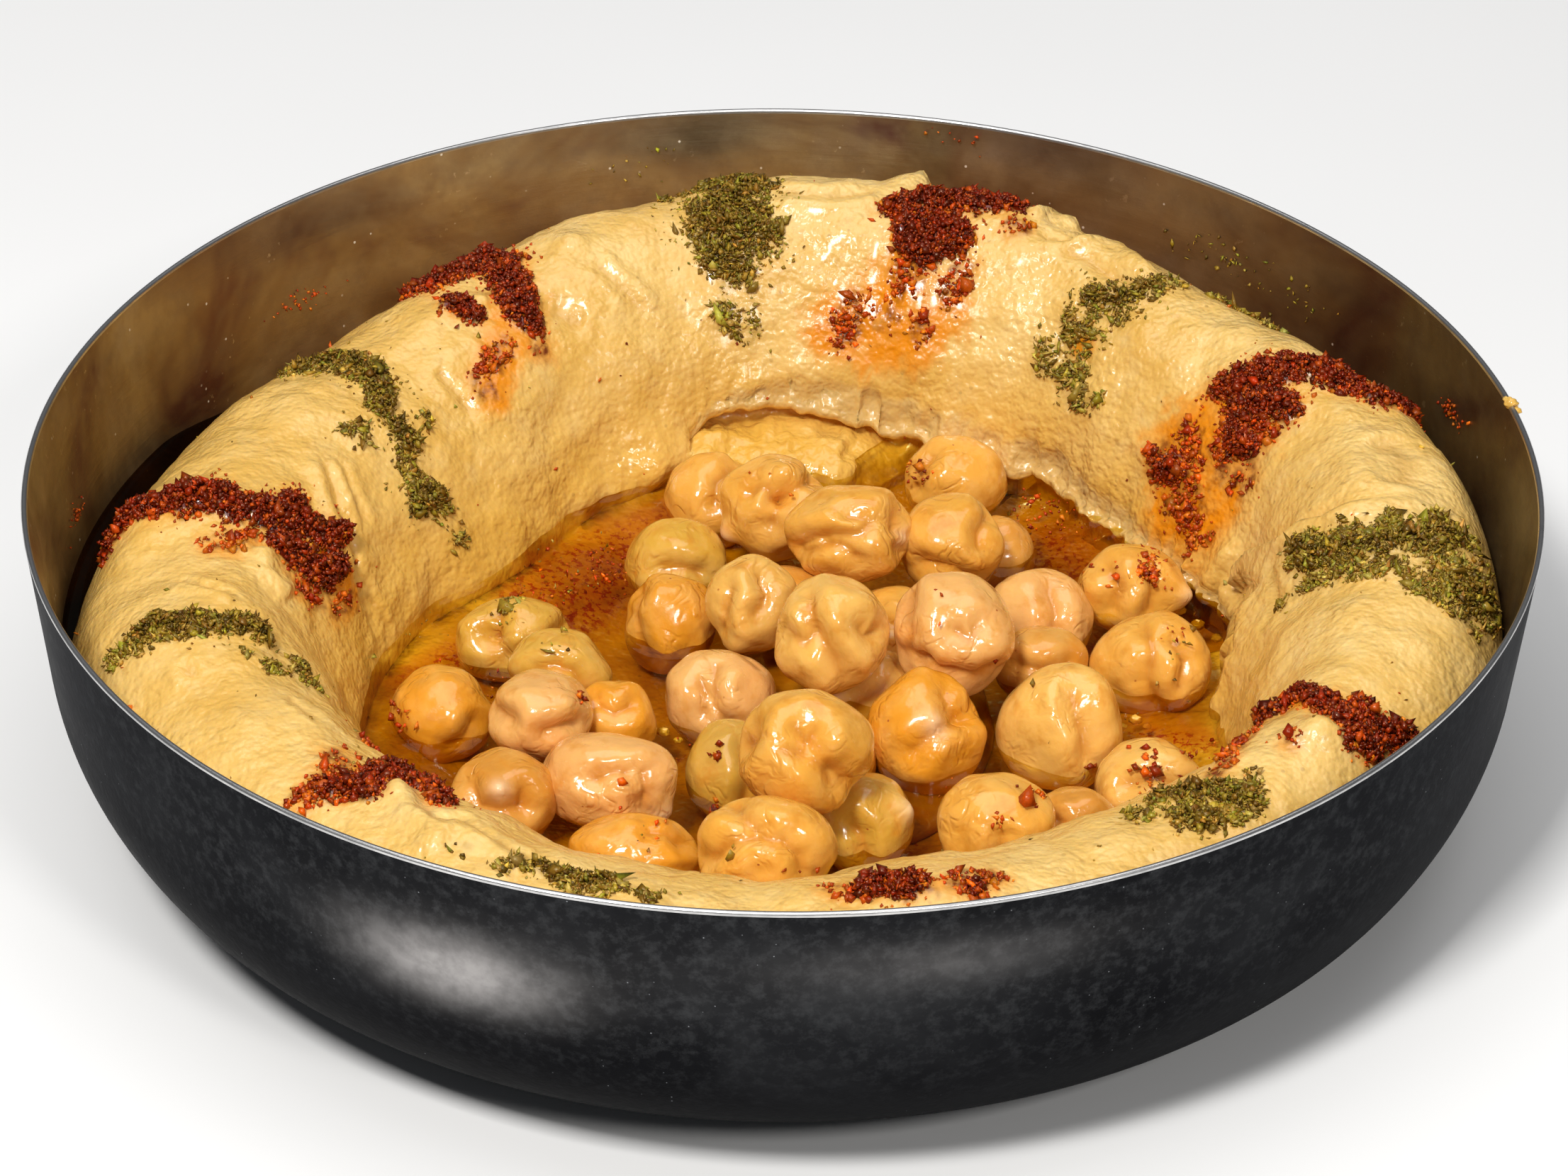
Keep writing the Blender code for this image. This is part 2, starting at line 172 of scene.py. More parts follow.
# ------------------------------------------------------------------ shapes: hummus roll
FLOOR, OIL, GAP_OIL = 5.0, 10.0, 19.0
ROLL = (
    (0, 48.5, 65.0, 31.3, 77.5, 19.0), (15, 51.5, 65.5, 33.0, 77.5, 20.5), (30, 49.0, 64.5, 33.0, 77.5, 16.0),
    (45, 48.0, 63.0, 32.2, 76.0, 14.0), (60, 49.5, 65.5, 34.0, 77.5, 15.0), (75, 48.0, 66.0, 34.5, 77.5, 14.0),
    (90, 47.0, 66.5, 34.5, 77.5, 14.0), (105, 44.5, 64.5, 33.7, 76.5, 14.0), (120, 41.5, 61.5, 31.5, 75.0, 13.0),
    (135, 37.5, 59.5, 30.0, 74.0, 12.0), (150, 37.5, 59.5, 29.5, 74.0, 12.0), (165, 41.0, 60.0, 29.5, 74.5, 12.0),
    (180, 43.5, 61.5, 29.5, 76.5, 13.0), (195, 46.0, 62.5, 28.5, 77.5, 14.0), (210, 47.0, 62.5, 28.0, 77.5, 14.0),
    (225, 46.0, 63.0, 28.0, 77.5, 14.0), (240, 46.0, 65.0, 28.2, 77.5, 14.0), (255, 46.0, 66.0, 28.0, 77.5, 14.0),
    (270, 46.0, 66.0, 28.0, 77.5, 14.0), (285, 46.0, 66.0, 28.2, 77.5, 14.0), (300, 46.5, 64.5, 28.0, 77.5, 14.0),
    (315, 49.0, 63.5, 28.3, 77.5, 14.0), (330, 52.0, 63.5, 28.8, 77.5, 14.0), (345, 50.0, 64.0, 30.0, 77.5, 16.5),
)
# the torn edge that hangs over the pool at the back: azimuth, height, radius
LIP = (
    (8, 9.5, 51.0), (12, 10.4, 51.0), (14, 10.4, 50.0), (23, 10.4, 48.0), (32, 10.3, 47.5), (43, 10.5, 47.0), (50, 11.5, 48.5),
    (54.5, 11.5, 49.0), (59, 11.0, 47.5), (67.6, 11.5, 47.0), (72, 12.6, 48.3), (75, 12.0, 48.3), (78, 13.2, 48.0),
    (83, 14.2, 48.0), (89, 15.0, 48.4), (95, 15.5, 47.8), (99.5, 15.4, 47.0), (102, 14.4, 46.5), (104, 12.9, 46.0), (108, 12.0, 45.0),
)
N_AZ, N_FLOOR, N_FACE, N_BACK = 820, 16, 74, 25
TORN_ROWS = 0.46          # share of the face's rows that make the torn edge and the hollow under it


def torn_at(az):
    return smooth((az - 9.0) / 2.0) * smooth((105.8 - az) / 1.8)


def roll_column(phi, foot, crest, top):
    """Radius and height on the face of the roll at these angles in degrees, from 0 at its foot to 90 at its crest."""
    phi = np.radians(phi)
    c, s = np.abs(np.cos(phi)) ** (2 / 1.9), np.sin(phi) ** (2 / 1.9)
    return crest - (crest - foot) * c, FLOOR + 1.0 + (top - FLOOR - 1.0) * s


def roll_grid():
    """The roll's points as an array [azimuth, row, 3], from the middle of the floor over the roll to the middle again."""
    az = np.arange(N_AZ) * 360 / N_AZ
    foot, crest, top, out, out_z = table_at(ROLL, az).T
    a = np.radians(az)
    top = top + 0.5 * np.sin(9 * a + 1.0) + 0.35 * np.sin(17 * a)
    lip = np.array(LIP)
    lip_z, lip_r = np.interp(az, lip[:, 0], lip[:, 1]), np.interp(az, lip[:, 0], lip[:, 2])
    at = np.stack([48 * np.cos(a), 48 * np.sin(a), 0 * a], 1)
    lip_z = lip_z + 0.85 * noise(at, 3.4, 5) + 0.75 * noise(at, 1.6, 6)
    lip_r = lip_r + 0.8 * noise(at, 2.6, 7) + 0.6 * noise(at, 1.3, 8)
    torn = torn_at(az)
    ledge = smooth((az - 70.0 + 3.0 * noise(at, 5.0, 12)) / 11.0) * smooth((110.0 - az) / 3.0)
    ragged = 0.9 * noise(at, 3.2, 14) + 0.5 * noise(at, 1.5, 16)
    start = (1 - ledge * torn) * (foot - 0.5) + ledge * torn * 36.6
    u = (np.arange(N_FACE) / (N_FACE - 1))[None, :]
    share = np.clip((lip_z + 1.2 - FLOOR - 1) / (top - FLOOR - 1), 0, 1)
    lip_phi = np.degrees(np.arcsin(share ** 0.95))[:, None]
    # rows spread evenly, or crowded below the lip wherever the torn edge is near
    even = 4 + 86 * u ** 0.93
    crowded = np.where(u < TORN_ROWS, 4 + (lip_phi - 4) * u / TORN_ROWS,
                       lip_phi + (90 - lip_phi) * (np.clip(u - TORN_ROWS, 0, 1) / (1 - TORN_ROWS)) ** 0.93)
    near = smooth((az + 9.0) / 16.0) * smooth((124.0 - az) / 16.0) + smooth((az - 351.0) / 16.0) * (az > 300)
    phi = even + (crowded - even) * near[:, None]
    plain = roll_column(phi, foot[:, None], crest[:, None], top[:, None])
    # the torn part: control points (share of the torn rows, radius, height) with and without the ledge
    shelf_z = np.minimum(12.6, lip_z - 1.0) + 0.5 * noise(at, 4.0, 9) - 2.4 * smooth((84 - az) / 14)
    with_ledge = ((0, 38.5 + ragged, 6.3), (0.14, 39.6 + ragged, 8.6), (0.25, 41.4 + ragged, shelf_z - 1.3), (0.5, 46.0, shelf_z - 0.2),
                  (0.66, 50.5, shelf_z), (0.76, 51.0, 0.4 * shelf_z + 0.6 * lip_z - 0.4), (0.86, lip_r + 0.8, lip_z - 0.9),
                  (0.93, lip_r, lip_z), (1.0, lip_r + 0.5, lip_z + 1.2))
    without = ((0, lip_r + 3.5, 6.3), (0.36, lip_r + 3.2, 8.5), (0.66, lip_r + 2.6, lip_z - 1.2),
               (0.86, lip_r + 0.7, lip_z - 0.9), (0.93, lip_r, lip_z), (1.0, lip_r + 0.5, lip_z + 1.2))
    torn_r, torn_z = np.zeros((N_AZ, N_FACE)), np.zeros((N_AZ, N_FACE))
    pull = (lip_r[:, None] + 0.5 - plain[0][:, int(TORN_ROWS * (N_FACE - 1)) + 1:][:, :1]) * np.exp(
        -np.abs(plain[1] - lip_z[:, None] - 1.2) / 4)
    for k in range(N_FACE):
        if u[0, k] >= TORN_ROWS:
            torn_r[:, k], torn_z[:, k] = plain[0][:, k] + pull[:, k], plain[1][:, k]
            continue
        f, values = u[0, k] / TORN_ROWS, []
        for control in (with_ledge, without):
            j = max(i for i in range(len(control)) if control[i][0] <= f)
            j = min(j, len(control) - 2)
            t = (f - control[j][0]) / (control[j + 1][0] - control[j][0])
            values.append([control[j][c] + t * (control[j + 1][c] - control[j][c]) + 0 * az for c in (1, 2)])
        torn_r[:, k], torn_z[:, k] = (values[0][c] * ledge + values[1][c] * (1 - ledge) for c in (0, 1))
    w = torn[:, None]
    rows_r, rows_z = [], []
    for k in range(N_FLOOR):
        t = (k / N_FLOOR) ** 0.7
        rows_r.append(t * start)
        rows_z.append(FLOOR + 1.3 * smooth((t - 0.8) / 0.2) * np.ones(N_AZ))
    face = plain[0] * (1 - w) + torn_r * w, plain[1] * (1 - w) + torn_z * w
    for k in range(N_FACE):
        rows_r.append(face[0][:, k])
        rows_z.append(face[1][:, k])
    for k in range(1, N_BACK + 1):
        psi = math.radians(90 * k / N_BACK)
        z = out_z + (top - out_z) * math.cos(psi)
        rows_r.append(np.minimum(crest + (out - crest) * math.sin(psi), wall_radius(z) - 0.05))
        rows_z.append(z)
    for r, z in ((None, 9.0), (None, 5.0), (40.0, 2.0), (0.0, 2.0)):
        rows_r.append((wall_radius(z) - 0.4 if r is None else r) * np.ones(N_AZ))
        rows_z.append(z * np.ones(N_AZ))
    r, z = np.array(rows_r).T, np.array(rows_z).T
    # the floor rises towards the roll's foot
    top_rows = slice(0, N_FLOOR + N_FACE)
    rise = smooth((r[:, top_rows] / foot[:, None] - 0.50) / 0.48) * (1 - (torn * (1 - ledge))[:, None])
    z[:, top_rows] = np.maximum(z[:, top_rows], FLOOR + 3.4 * rise)
    return np.stack([r * np.cos(a)[:, None], r * np.sin(a)[:, None], z], -1), az
# ------------------------------------------------------------------ end of shapes


# ------------------------------------------------------------------ meshes
def make_piece(name, points, faces, materials, stands_for=(), shades=None, face_material=None, flat=False):
    """A mesh piece from points in millimetres. faces: one array of triangles or quads, or a list of such arrays."""
    groups = faces if isinstance(faces, list) else [faces]
    groups = [np.asarray(g, np.int32) for g in groups if len(g)]
    mesh = bpy.data.meshes.new(name)
    mesh.vertices.add(len(points))
    mesh.vertices.foreach_set("co", (np.asarray(points) * MM).astype(np.float32).ravel())
    loops = np.concatenate([g.ravel() for g in groups])
    sizes = np.concatenate([np.full(len(g), g.shape[1], np.int32) for g in groups])
    mesh.loops.add(len(loops))
    mesh.loops.foreach_set("vertex_index", loops)
    mesh.polygons.add(len(sizes))
    mesh.polygons.foreach_set("loop_start", np.concatenate([[0], np.cumsum(sizes)[:-1]]).astype(np.int32))
    if not flat:
        mesh.polygons.foreach_set("use_smooth", np.ones(len(sizes), bool))
    for material in materials:
        mesh.materials.append(material)
    if face_material is not None:
        mesh.polygons.foreach_set("material_index", np.asarray(face_material, np.int32))
    mesh.update(calc_edges=True)
    mesh.validate()
    for key, values in (shades or {}).items():
        values = np.asarray(values, np.float32)
        if values.ndim == 1:
            mesh.attributes.new(key, "FLOAT", "POINT").data.foreach_set("value", values)
        else:
            rgba = np.ones((len(values), 4), np.float32)
            rgba[:, :3] = values
            mesh.attributes.new(key, "FLOAT_COLOR", "POINT").data.foreach_set("color", rgba.ravel())
    piece = bpy.data.objects.new(name, mesh)
    bpy.context.scene.collection.objects.link(piece)
    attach(piece, "root")
    if stands_for:
        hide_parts(*stands_for)
    return piece


def grid_faces(columns, rows, wrap=True, start=0):
    """Quads of a grid [column, row] whose columns close on themselves, facing out when rows run inwards to out going up."""
    i = np.arange(columns if wrap else columns - 1)
    j = np.arange(rows - 1)
    i, j = np.meshgrid(i, j, indexing="ij")
    a, b = i * rows + j, ((i + 1) % columns) * rows + j
    return np.stack([a, b, b + 1, a + 1], -1).reshape(-1, 4) + start


def normals_of(points, quads):
    n = np.zeros_like(points)
    for a, b, c in ((0, 1, 2), (0, 2, 3)):
        face = np.cross(points[quads[:, b]] - points[quads[:, a]], points[quads[:, c]] - points[quads[:, a]])
        for k in (a, b, c):
            for axis in range(3):
                n[:, axis] += np.bincount(quads[:, k], face[:, axis], len(points))
    return n / np.maximum(np.linalg.norm(n, axis=1), 1e-12)[:, None]


# ------------------------------------------------------------------ materials
class Shader:
    """A node material, written as expressions. Sizes are in millimetres."""

    def __init__(self, name):
        self.material = bpy.data.materials.new(name)
        self.material.use_nodes = True
        self.tree = self.material.node_tree
        self.tree.nodes.clear()
        self.out = self.tree.nodes.new("ShaderNodeOutputMaterial")
        self.place = self.tree.nodes.new("ShaderNodeTexCoord").outputs["Object"]

    def put(self, socket, value):
        if isinstance(value, bpy.types.NodeSocket):
            self.tree.links.new(value, socket)
        elif hasattr(value, "__len__"):
            value = tuple(value)
            socket.default_value = value if len(value) == len(socket.default_value) else value + (1.0,)
        else:
            socket.default_value = value

    def node(self, kind, out=0, props=None, **inputs):
        made = self.tree.nodes.new(kind)
        for key, value in (props or {}).items():
            setattr(made, key, value)
        for key, value in inputs.items():
            name = key.replace("_", " ")
            socket = made.inputs[int(key[1:])] if key[0] == "i" and key[1:].isdigit() else made.inputs[name]
            self.put(socket, value)
        return made.outputs[out]

    def mapped(self, stretch=(1, 1, 1), turn=(0, 0, 0)):
        return self.node("ShaderNodeMapping", Vector=self.place, Scale=stretch, Rotation=turn)

    def noise(self, size, detail=2.0, rough=0.5, bend=0.0, vector=None):
        return self.node("ShaderNodeTexNoise", Vector=vector or self.place, Scale=1000.0 / size, Detail=detail,
                         Roughness=rough, Distortion=bend)

    def cells(self, size, kind="F1", vector=None):
        return self.node("ShaderNodeTexVoronoi", props={"feature": kind}, Vector=vector or self.place, Scale=1000.0 / size)

    def span(self, value, low, high, to_low=0.0, to_high=1.0, soft=False):
        return self.node("ShaderNodeMapRange", props={"interpolation_type": "SMOOTHSTEP" if soft else "LINEAR"},
                         i0=value, i1=low, i2=high, i3=to_low, i4=to_high)

    def op(self, kind, a, b=0.0, clamp=False):
        return self.node("ShaderNodeMath", props={"operation": kind, "use_clamp": clamp}, i0=a, i1=b)

    def ramp(self, value, *stops):
        made = self.tree.nodes.new("ShaderNodeValToRGB")
        elements = made.color_ramp.elements
        while len(elements) < len(stops):
            elements.new(0.5)
        for element, (at, colour) in zip(elements, stops):
            element.position = at
            element.color = (*colour, 1.0)
        self.put(made.inputs[0], value)
        return made.outputs[0]

    def mix(self, share, a, b, blend="MIX"):
        made = self.tree.nodes.new("ShaderNodeMix")
        made.data_type, made.blend_type = "RGBA", blend
        self.put(made.inputs[0], share)
        self.put(made.inputs[6], a)
        self.put(made.inputs[7], b)
        return made.outputs[2]

    def shade(self, name, colour=False):
        made = self.tree.nodes.new("ShaderNodeAttribute")
        made.attribute_name = name
        return made.outputs["Color" if colour else "Fac"]

    def bump(self, height, distance, strength=1.0, normal=None):
        made = self.tree.nodes.new("ShaderNodeBump")
        self.put(made.inputs["Height"], height)
        made.inputs["Distance"].default_value = distance * MM
        made.inputs["Strength"].default_value = strength
        if normal is not None:
            self.put(made.inputs["Normal"], normal)
        return made.outputs[0]

    def under_oil(self, colour, depth=None):
        """The colour as seen through this depth of oil, in millimetres."""
        depth = self.shade("depth") if depth is None else depth
        made = self.tree.nodes.new("ShaderNodeCombineColor")
        for socket, kept in zip(made.inputs, OIL_KEEPS):
            self.put(socket, self.op("POWER", kept, depth))
        return self.mix(1.0, colour, made.outputs[0], "MULTIPLY")

    def finish(self, **inputs):
        """Ends in a Principled BSDF with these inputs."""
        made = self.tree.nodes.new("ShaderNodeBsdfPrincipled")
        for key, value in inputs.items():
            self.put(made.inputs[key.replace("_", " ")], value)
        self.tree.links.new(made.outputs[0], self.out.inputs[0])
        return self.material


OIL_KEEPS = (0.935, 0.850, 0.37)      # share of red, green and blue light left after a millimetre of depth


def hummus_material():
    s = Shader("hummus")
    broad, middle = s.noise(15, 3, 0.55), s.noise(3.0, 4, 0.6)
    colour = s.ramp(broad, (0.32, (0.73, 0.425, 0.090)), (0.5, (0.79, 0.49, 0.130)), (0.68, (0.84, 0.56, 0.185)))
    colour = s.mix(s.span(middle, 0.48, 0.72, 0.0, 0.35), colour, (0.89, 0.66, 0.29))
    colour = s.mix(s.op("MULTIPLY", s.shade("low"), 0.8, True), colour, (0.73, 0.395, 0.050))
    small = s.noise(1.1, 3, 0.6)
    colour = s.mix(s.span(small, 0.44, 0.28, 0.0, 0.40), colour, (0.60, 0.31, 0.06))
    flecks = s.op("MULTIPLY", s.span(s.cells(2.1), 0.15, 0.08), s.span(s.noise(5.0), 0.56, 0.63))
    colour = s.mix(s.op("MULTIPLY", flecks, 0.5), colour, (0.36, 0.20, 0.05))
    # painted shade: darker in grooves, pits and where the roll's ends lap
    colour = s.mix(s.op("MULTIPLY", s.shade("crease_shade"), 0.6), colour, (0.50, 0.24, 0.04))
    colour = s.mix(s.op("MULTIPLY", s.shade("torn"), s.span(small, 0.3, 0.65, 0.45, 0.9)), colour, (0.66, 0.43, 0.155))
    stain = s.op("MULTIPLY", s.shade("stain"), s.span(middle, 0.25, 0.65, 0.65, 1.25))
    colour = s.mix(s.op("MULTIPLY", stain, 1.0, True), colour, (0.80, 0.265, 0.002))
    smudge = s.span(small, 0.32, 0.60, 0.25, 1.2)
    green = s.op("MULTIPLY", s.shade("green"), smudge)
    colour = s.mix(s.op("MULTIPLY", green, 0.85, True), colour, (0.36, 0.215, 0.022))
    red = s.op("MULTIPLY", s.shade("red"), s.op("MULTIPLY", smudge, 1.5))
    colour = s.mix(s.op("MULTIPLY", red, 0.97, True), colour, (0.13, 0.010, 0.001))
    specks = s.op("MULTIPLY", s.shade("spiced"), s.span(s.noise(0.75, 2, 0.6), 0.50, 0.60, 0.22, 1.0))
    colour = s.mix(specks, colour, (0.42, 0.055, 0.003))
    colour = s.under_oil(colour)
    wet = s.span(s.noise(4.0, 3, 0.55), 0.36, 0.62)
    rough = s.op("SUBTRACT", 0.38, s.op("MULTIPLY", wet, 0.13))
    rough = s.op("SUBTRACT", rough, s.op("MULTIPLY", s.shade("wet"), 0.14, True))
    coarse = s.op("MULTIPLY", s.noise(2.4, 1, 0.5), 0.22)
    grain = s.op("ADD", s.noise(0.95, 1, 0.5), s.op("MULTIPLY", s.cells(0.8), -0.30))
    fine = s.op("MULTIPLY", grain, s.op("MULTIPLY", s.shade("grain"), s.span(s.noise(9.0, 2), 0.35, 0.65, 0.6, 1.0)))
    normal = s.bump(s.op("ADD", coarse, fine), 0.44, 1.0)
    return s.finish(Base_Color=colour, Roughness=rough, Normal=normal, Subsurface_Weight=0.14,
                    Subsurface_Radius=(1.0, 0.55, 0.15), Subsurface_Scale=0.0016, IOR=1.5, Specular_IOR_Level=0.5,
                    Coat_Weight=0.34, Coat_Roughness=0.14)


def chickpea_material():
    s = Shader("chickpea")
    tint = s.shade("tint", True)
    colour = s.mix(s.span(s.noise(4.5, 3, 0.55), 0.42, 0.68, 0.0, 0.35), tint, (0.86, 0.52, 0.15))
    colour = s.mix(s.span(s.noise(3.0, 3, 0.6), 0.47, 0.28, 0.0, 0.65), colour, (0.66, 0.25, 0.018))
    # painted shade: darker deep-orange in the creases
    colour = s.mix(s.op("MULTIPLY", s.shade("crease_shade"), 0.65, True), colour, (0.56, 0.18, 0.014))
    colour = s.mix(s.op("MULTIPLY", s.shade("pale"), 0.8, True), colour, (0.92, 0.66, 0.40))
    skin = s.op("ABSOLUTE", s.op("SUBTRACT", s.noise(2.8, 2, 0.5, 0.6), 0.5))
    line = s.op("MULTIPLY", s.span(skin, 0.12, 0.0, soft=True), s.span(s.noise(5.5, 2), 0.46, 0.60))
    colour = s.mix(s.op("MULTIPLY", line, 0.22), colour, (0.62, 0.24, 0.02))
    specks = s.op("MULTIPLY", s.span(s.cells(1.7), 0.10, 0.05), s.span(s.noise(6.0), 0.58, 0.64))
    colour = s.mix(specks, colour, (0.42, 0.10, 0.02))
    colour = s.under_oil(colour)
    rough = s.span(s.noise(2.2, 3, 0.6), 0.35, 0.7, 0.12, 0.30)
    grain = s.op("ADD", s.op("MULTIPLY", s.noise(0.8, 3, 0.6), 0.30), s.noise(2.4, 2, 0.5))
    grain = s.op("ADD", grain, s.op("MULTIPLY", line, -0.6))
    normal = s.bump(grain, 0.22, 0.8)
    return s.finish(Base_Color=colour, Roughness=rough, Normal=normal, Subsurface_Weight=0.22,
                    Subsurface_Radius=(1.0, 0.42, 0.10), Subsurface_Scale=0.0016, IOR=1.47, Coat_Weight=0.5,
                    Coat_Roughness=0.05)


def grain_material(name, rough, gloss, warm):
    s = Shader(name)
    tint = s.shade("tint", True)
    colour = s.mix(s.span(s.noise(0.35, 2, 0.6), 0.3, 0.7, 0.0, 0.35), tint, (0.02, 0.004, 0.001))
    return s.finish(Base_Color=colour, Roughness=s.span(s.noise(0.7, 2, 0.5), 0.3, 0.7, rough, rough + 0.22),
                    Normal=s.bump(s.noise(0.25, 2, 0.6), 0.06, 0.7), Specular_IOR_Level=gloss, Specular_Tint=warm)


def oil_material(name, light, dark, size):
    s = Shader(name)
    patch = s.noise(size, 4, 0.6, 0.6)
    tint = s.ramp(patch, (0.36, dark), (0.60, light))
    tint = s.mix(s.op("MULTIPLY", s.shade("red"), s.span(s.noise(2.2, 3, 0.6), 0.3, 0.6, 0.35, 1.0)), tint, (0.74, 0.30, 0.03))
    clear = s.node("ShaderNodeBsdfTransparent", Color=tint)
    gloss = s.node("ShaderNodeBsdfGlossy", Color=(0.95, 0.85, 0.60), Roughness=0.03,
                   Normal=s.bump(s.noise(7.0, 2, 0.5), 0.12, 0.5))
    fresnel = s.op("MULTIPLY", s.node("ShaderNodeFresnel", IOR=1.40), 0.55)
    mixed = s.node("ShaderNodeMixShader", i0=fresnel, i1=clear, i2=gloss)
    s.tree.links.new(mixed, s.out.inputs[0])
    return s.material


def metal_materials():
    made = []
    # outside: dark, darker towards the foot as painted shade, with bright patches that are painted highlights
    s = Shader("bowl_outside")
    up = s.node("ShaderNodeSeparateXYZ", out=2, Vector=s.place)
    patch, fine = s.noise(22, 5, 0.62, 0.4), s.noise(1.5, 5, 0.75)
    colour = s.ramp(patch, (0.3, (0.006, 0.0062, 0.0072)), (0.52, (0.013, 0.0135, 0.015)), (0.72, (0.026, 0.027, 0.029)))
    colour = s.mix(s.span(fine, 0.47, 0.70, 0.0, 0.60), colour, (0.052, 0.054, 0.057))
    # painted shade: the outside goes near black towards the foot, where little light reaches
    colour = s.mix(s.span(up, 0.026, 0.006, 0.0, 0.97), colour, (0.0015, 0.0015, 0.002))
    # painted highlight: bright, more metallic patches on the outside stand in for a lamp's reflection
    wear_and_painted_highlight = s.op("MULTIPLY", s.shade("wear_and_painted_highlight"), s.span(s.noise(3.0, 4, 0.6), 0.3, 0.6, 0.6, 1.05), True)
    colour = s.mix(wear_and_painted_highlight, colour, (0.46, 0.44, 0.43))
    colour = s.mix(s.op("MULTIPLY", s.span(s.cells(1.3), 0.07, 0.03), s.span(s.noise(9.0), 0.52, 0.6)), colour,
                   (0.30, 0.31, 0.33))
    rough = s.op("ADD", s.span(patch, 0.3, 0.7, 0.40, 0.54), s.span(fine, 0.35, 0.7, -0.04, 0.07))
    metal = s.op("ADD", s.span(up, 0.032, 0.010, 0.26, 0.02), s.op("MULTIPLY", wear_and_painted_highlight, 0.65))
    made.append(s.finish(Base_Color=colour, Metallic=metal, Roughness=rough, IOR=1.12, Specular_IOR_Level=0.12, Specular_Tint=(0.45, 0.45, 0.47),
                         Normal=s.bump(s.op("ADD", s.noise(0.9, 3, 0.6), s.op("MULTIPLY", s.noise(9, 2), 1.6)), 0.05, 0.7)))
    # inside: bare spun metal with stains, warm and purplish patches and dried specks
    s = Shader("bowl_inside")
    spin = s.noise(0.45, 4, 0.7, vector=s.mapped((0.06, 0.06, 1.0)))
    patch = s.noise(26, 4, 0.6, 0.5, vector=s.mapped((1, 1, 1.6)))
    colour = s.ramp(patch, (0.34, (0.16, 0.075, 0.060)), (0.45, (0.30, 0.21, 0.12)), (0.58, (0.42, 0.33, 0.20)),
                    (0.75, (0.50, 0.43, 0.32)))
    colour = s.mix(s.span(s.noise(3.4, 5, 0.7), 0.45, 0.75, 0.0, 0.45), colour, (0.22, 0.16, 0.11))
    dried = s.op("MULTIPLY", s.span(s.noise(1.1, 3, 0.6), 0.66, 0.72), s.span(s.noise(13.0), 0.5, 0.6))
    colour = s.mix(s.op("MULTIPLY", dried, 0.6), colour, (0.62, 0.52, 0.36))
    dots = s.op("MULTIPLY", s.span(s.cells(2.3), 0.085, 0.05), s.span(s.noise(8.0), 0.5, 0.58))
    colour = s.mix(s.op("MULTIPLY", dots, 0.8), colour, (0.75, 0.68, 0.56))
    # painted light: the tone brightens and darkens the wall as reflections and shade would fall
    colour = s.mix(1.0, colour, s.shade("tone", True), "MULTIPLY")
    rough = s.span(s.noise(5.0, 5, 0.65), 0.3, 0.7, 0.30, 0.46)
    made.append(s.finish(Base_Color=colour, Metallic=s.op("SUBTRACT", 0.92, s.op("MULTIPLY", dots, 0.8)), Roughness=rough,
                         Normal=s.bump(s.op("ADD", spin, s.op("MULTIPLY", s.noise(1.8, 3, 0.6), 0.8)), 0.035, 0.7)))
    # the rolled-over rim, worn bright
    s = Shader("bowl_rim")
    wear_and_painted_highlight = s.noise(6.0, 5, 0.65)
    colour = s.ramp(wear_and_painted_highlight, (0.3, (0.42, 0.42, 0.42)), (0.6, (0.68, 0.67, 0.66)))
    made.append(s.finish(Base_Color=colour, Metallic=1.0, Roughness=s.span(wear_and_painted_highlight, 0.3, 0.7, 0.40, 0.26),
                         Normal=s.bump(s.noise(0.8, 3, 0.6), 0.03, 0.6)))
    return made


# ------------------------------------------------------------------ hummus
RED_PILES = (
    ((-43.5, 50, 1), (-40.5, 49, 1.5), (-38, 51.5, 1.8), (-35.5, 55, 2.1), (-33.5, 52.5, 2.2), (-31.5, 47.5, 1.8),
       (-30.5, 44.5, 1.8), (-29.5, 43.5, 1.3)), ((-38, 43.5, 1.3), (-35.5, 42.5, 0.9)),
    ((12.5, 62, 1.2), (15.5, 62, 1.7), (18.5, 63.5, 2), (22, 64, 2)),
    ((14.5, 59, 1.7), (18, 58.5, 2.3), (20, 57.5, 1.6)), ((16, 56, 1.6), (14.5, 57, 1.2)),
    ((22.5, 62.5, 1.6), (25, 62, 1.6), (27, 61.5, 1.1)),
    ((49.5, 29.5, 1.2), (53, 28.5, 1.9), (57, 28, 1.9), (60, 27.5, 1.9), (62.5, 25.5, 1.5), (66, 23.5, 1.5),
       (69, 25.5, 1.3)), ((51.5, 25.5, 2.2), (54, 24.5, 2.0), (56, 22.5, 1.3)), ((51, 23.5, 1.7), (52, 21.5, 1.2)),
    ((44.5, 26.5, 1.3), (42.5, 28, 1.0)), ((69, 27, 1.2),),
    ((-72.5, 1.5, 0.9), (-70, 4, 1), (-67.5, 4, 1.5), (-65, 3.5, 1.8), (-62, 4, 2.2), (-59, 2.5, 1.7),
       (-56, 2.5, 1.7), (-54, 3.5, 1.8), (-53, 6, 1.5), (-52, 4, 1.6), (-50, 4, 1.8), (-48.5, 6, 1.2)),
    ((-53.5, -0.5, 1.7), (-51.5, -1, 1.5), (-49.5, -0.5, 1.3), (-48.5, 2, 1.2)),
    ((49.5, -31.5, 1.0), (51.5, -29.5, 1.2), (53, -29, 1.2), (54.5, -32, 1.3),
       (56.5, -34.5, 1.6), (58, -35, 1.6), (60.5, -34.5, 1.6), (63.5, -32.5, 1.2)), ((59, -31.5, 1.2),),
    ((59, -37.5, 1.3), (56.5, -38, 1)),
    ((-45, -47, 1.0), (-43.5, -47.5, 1.7), (-41, -47, 1.7), (-39.5, -43, 1.5), (-38, -40, 1.4),
       (-35.5, -42.5, 1.3), (-33.5, -48, 1.2)),
    ((9, -63.5, 1.1), (10.5, -63.5, 1.3), (12.5, -64, 1.3)), ((19, -63, 0.9),),
)
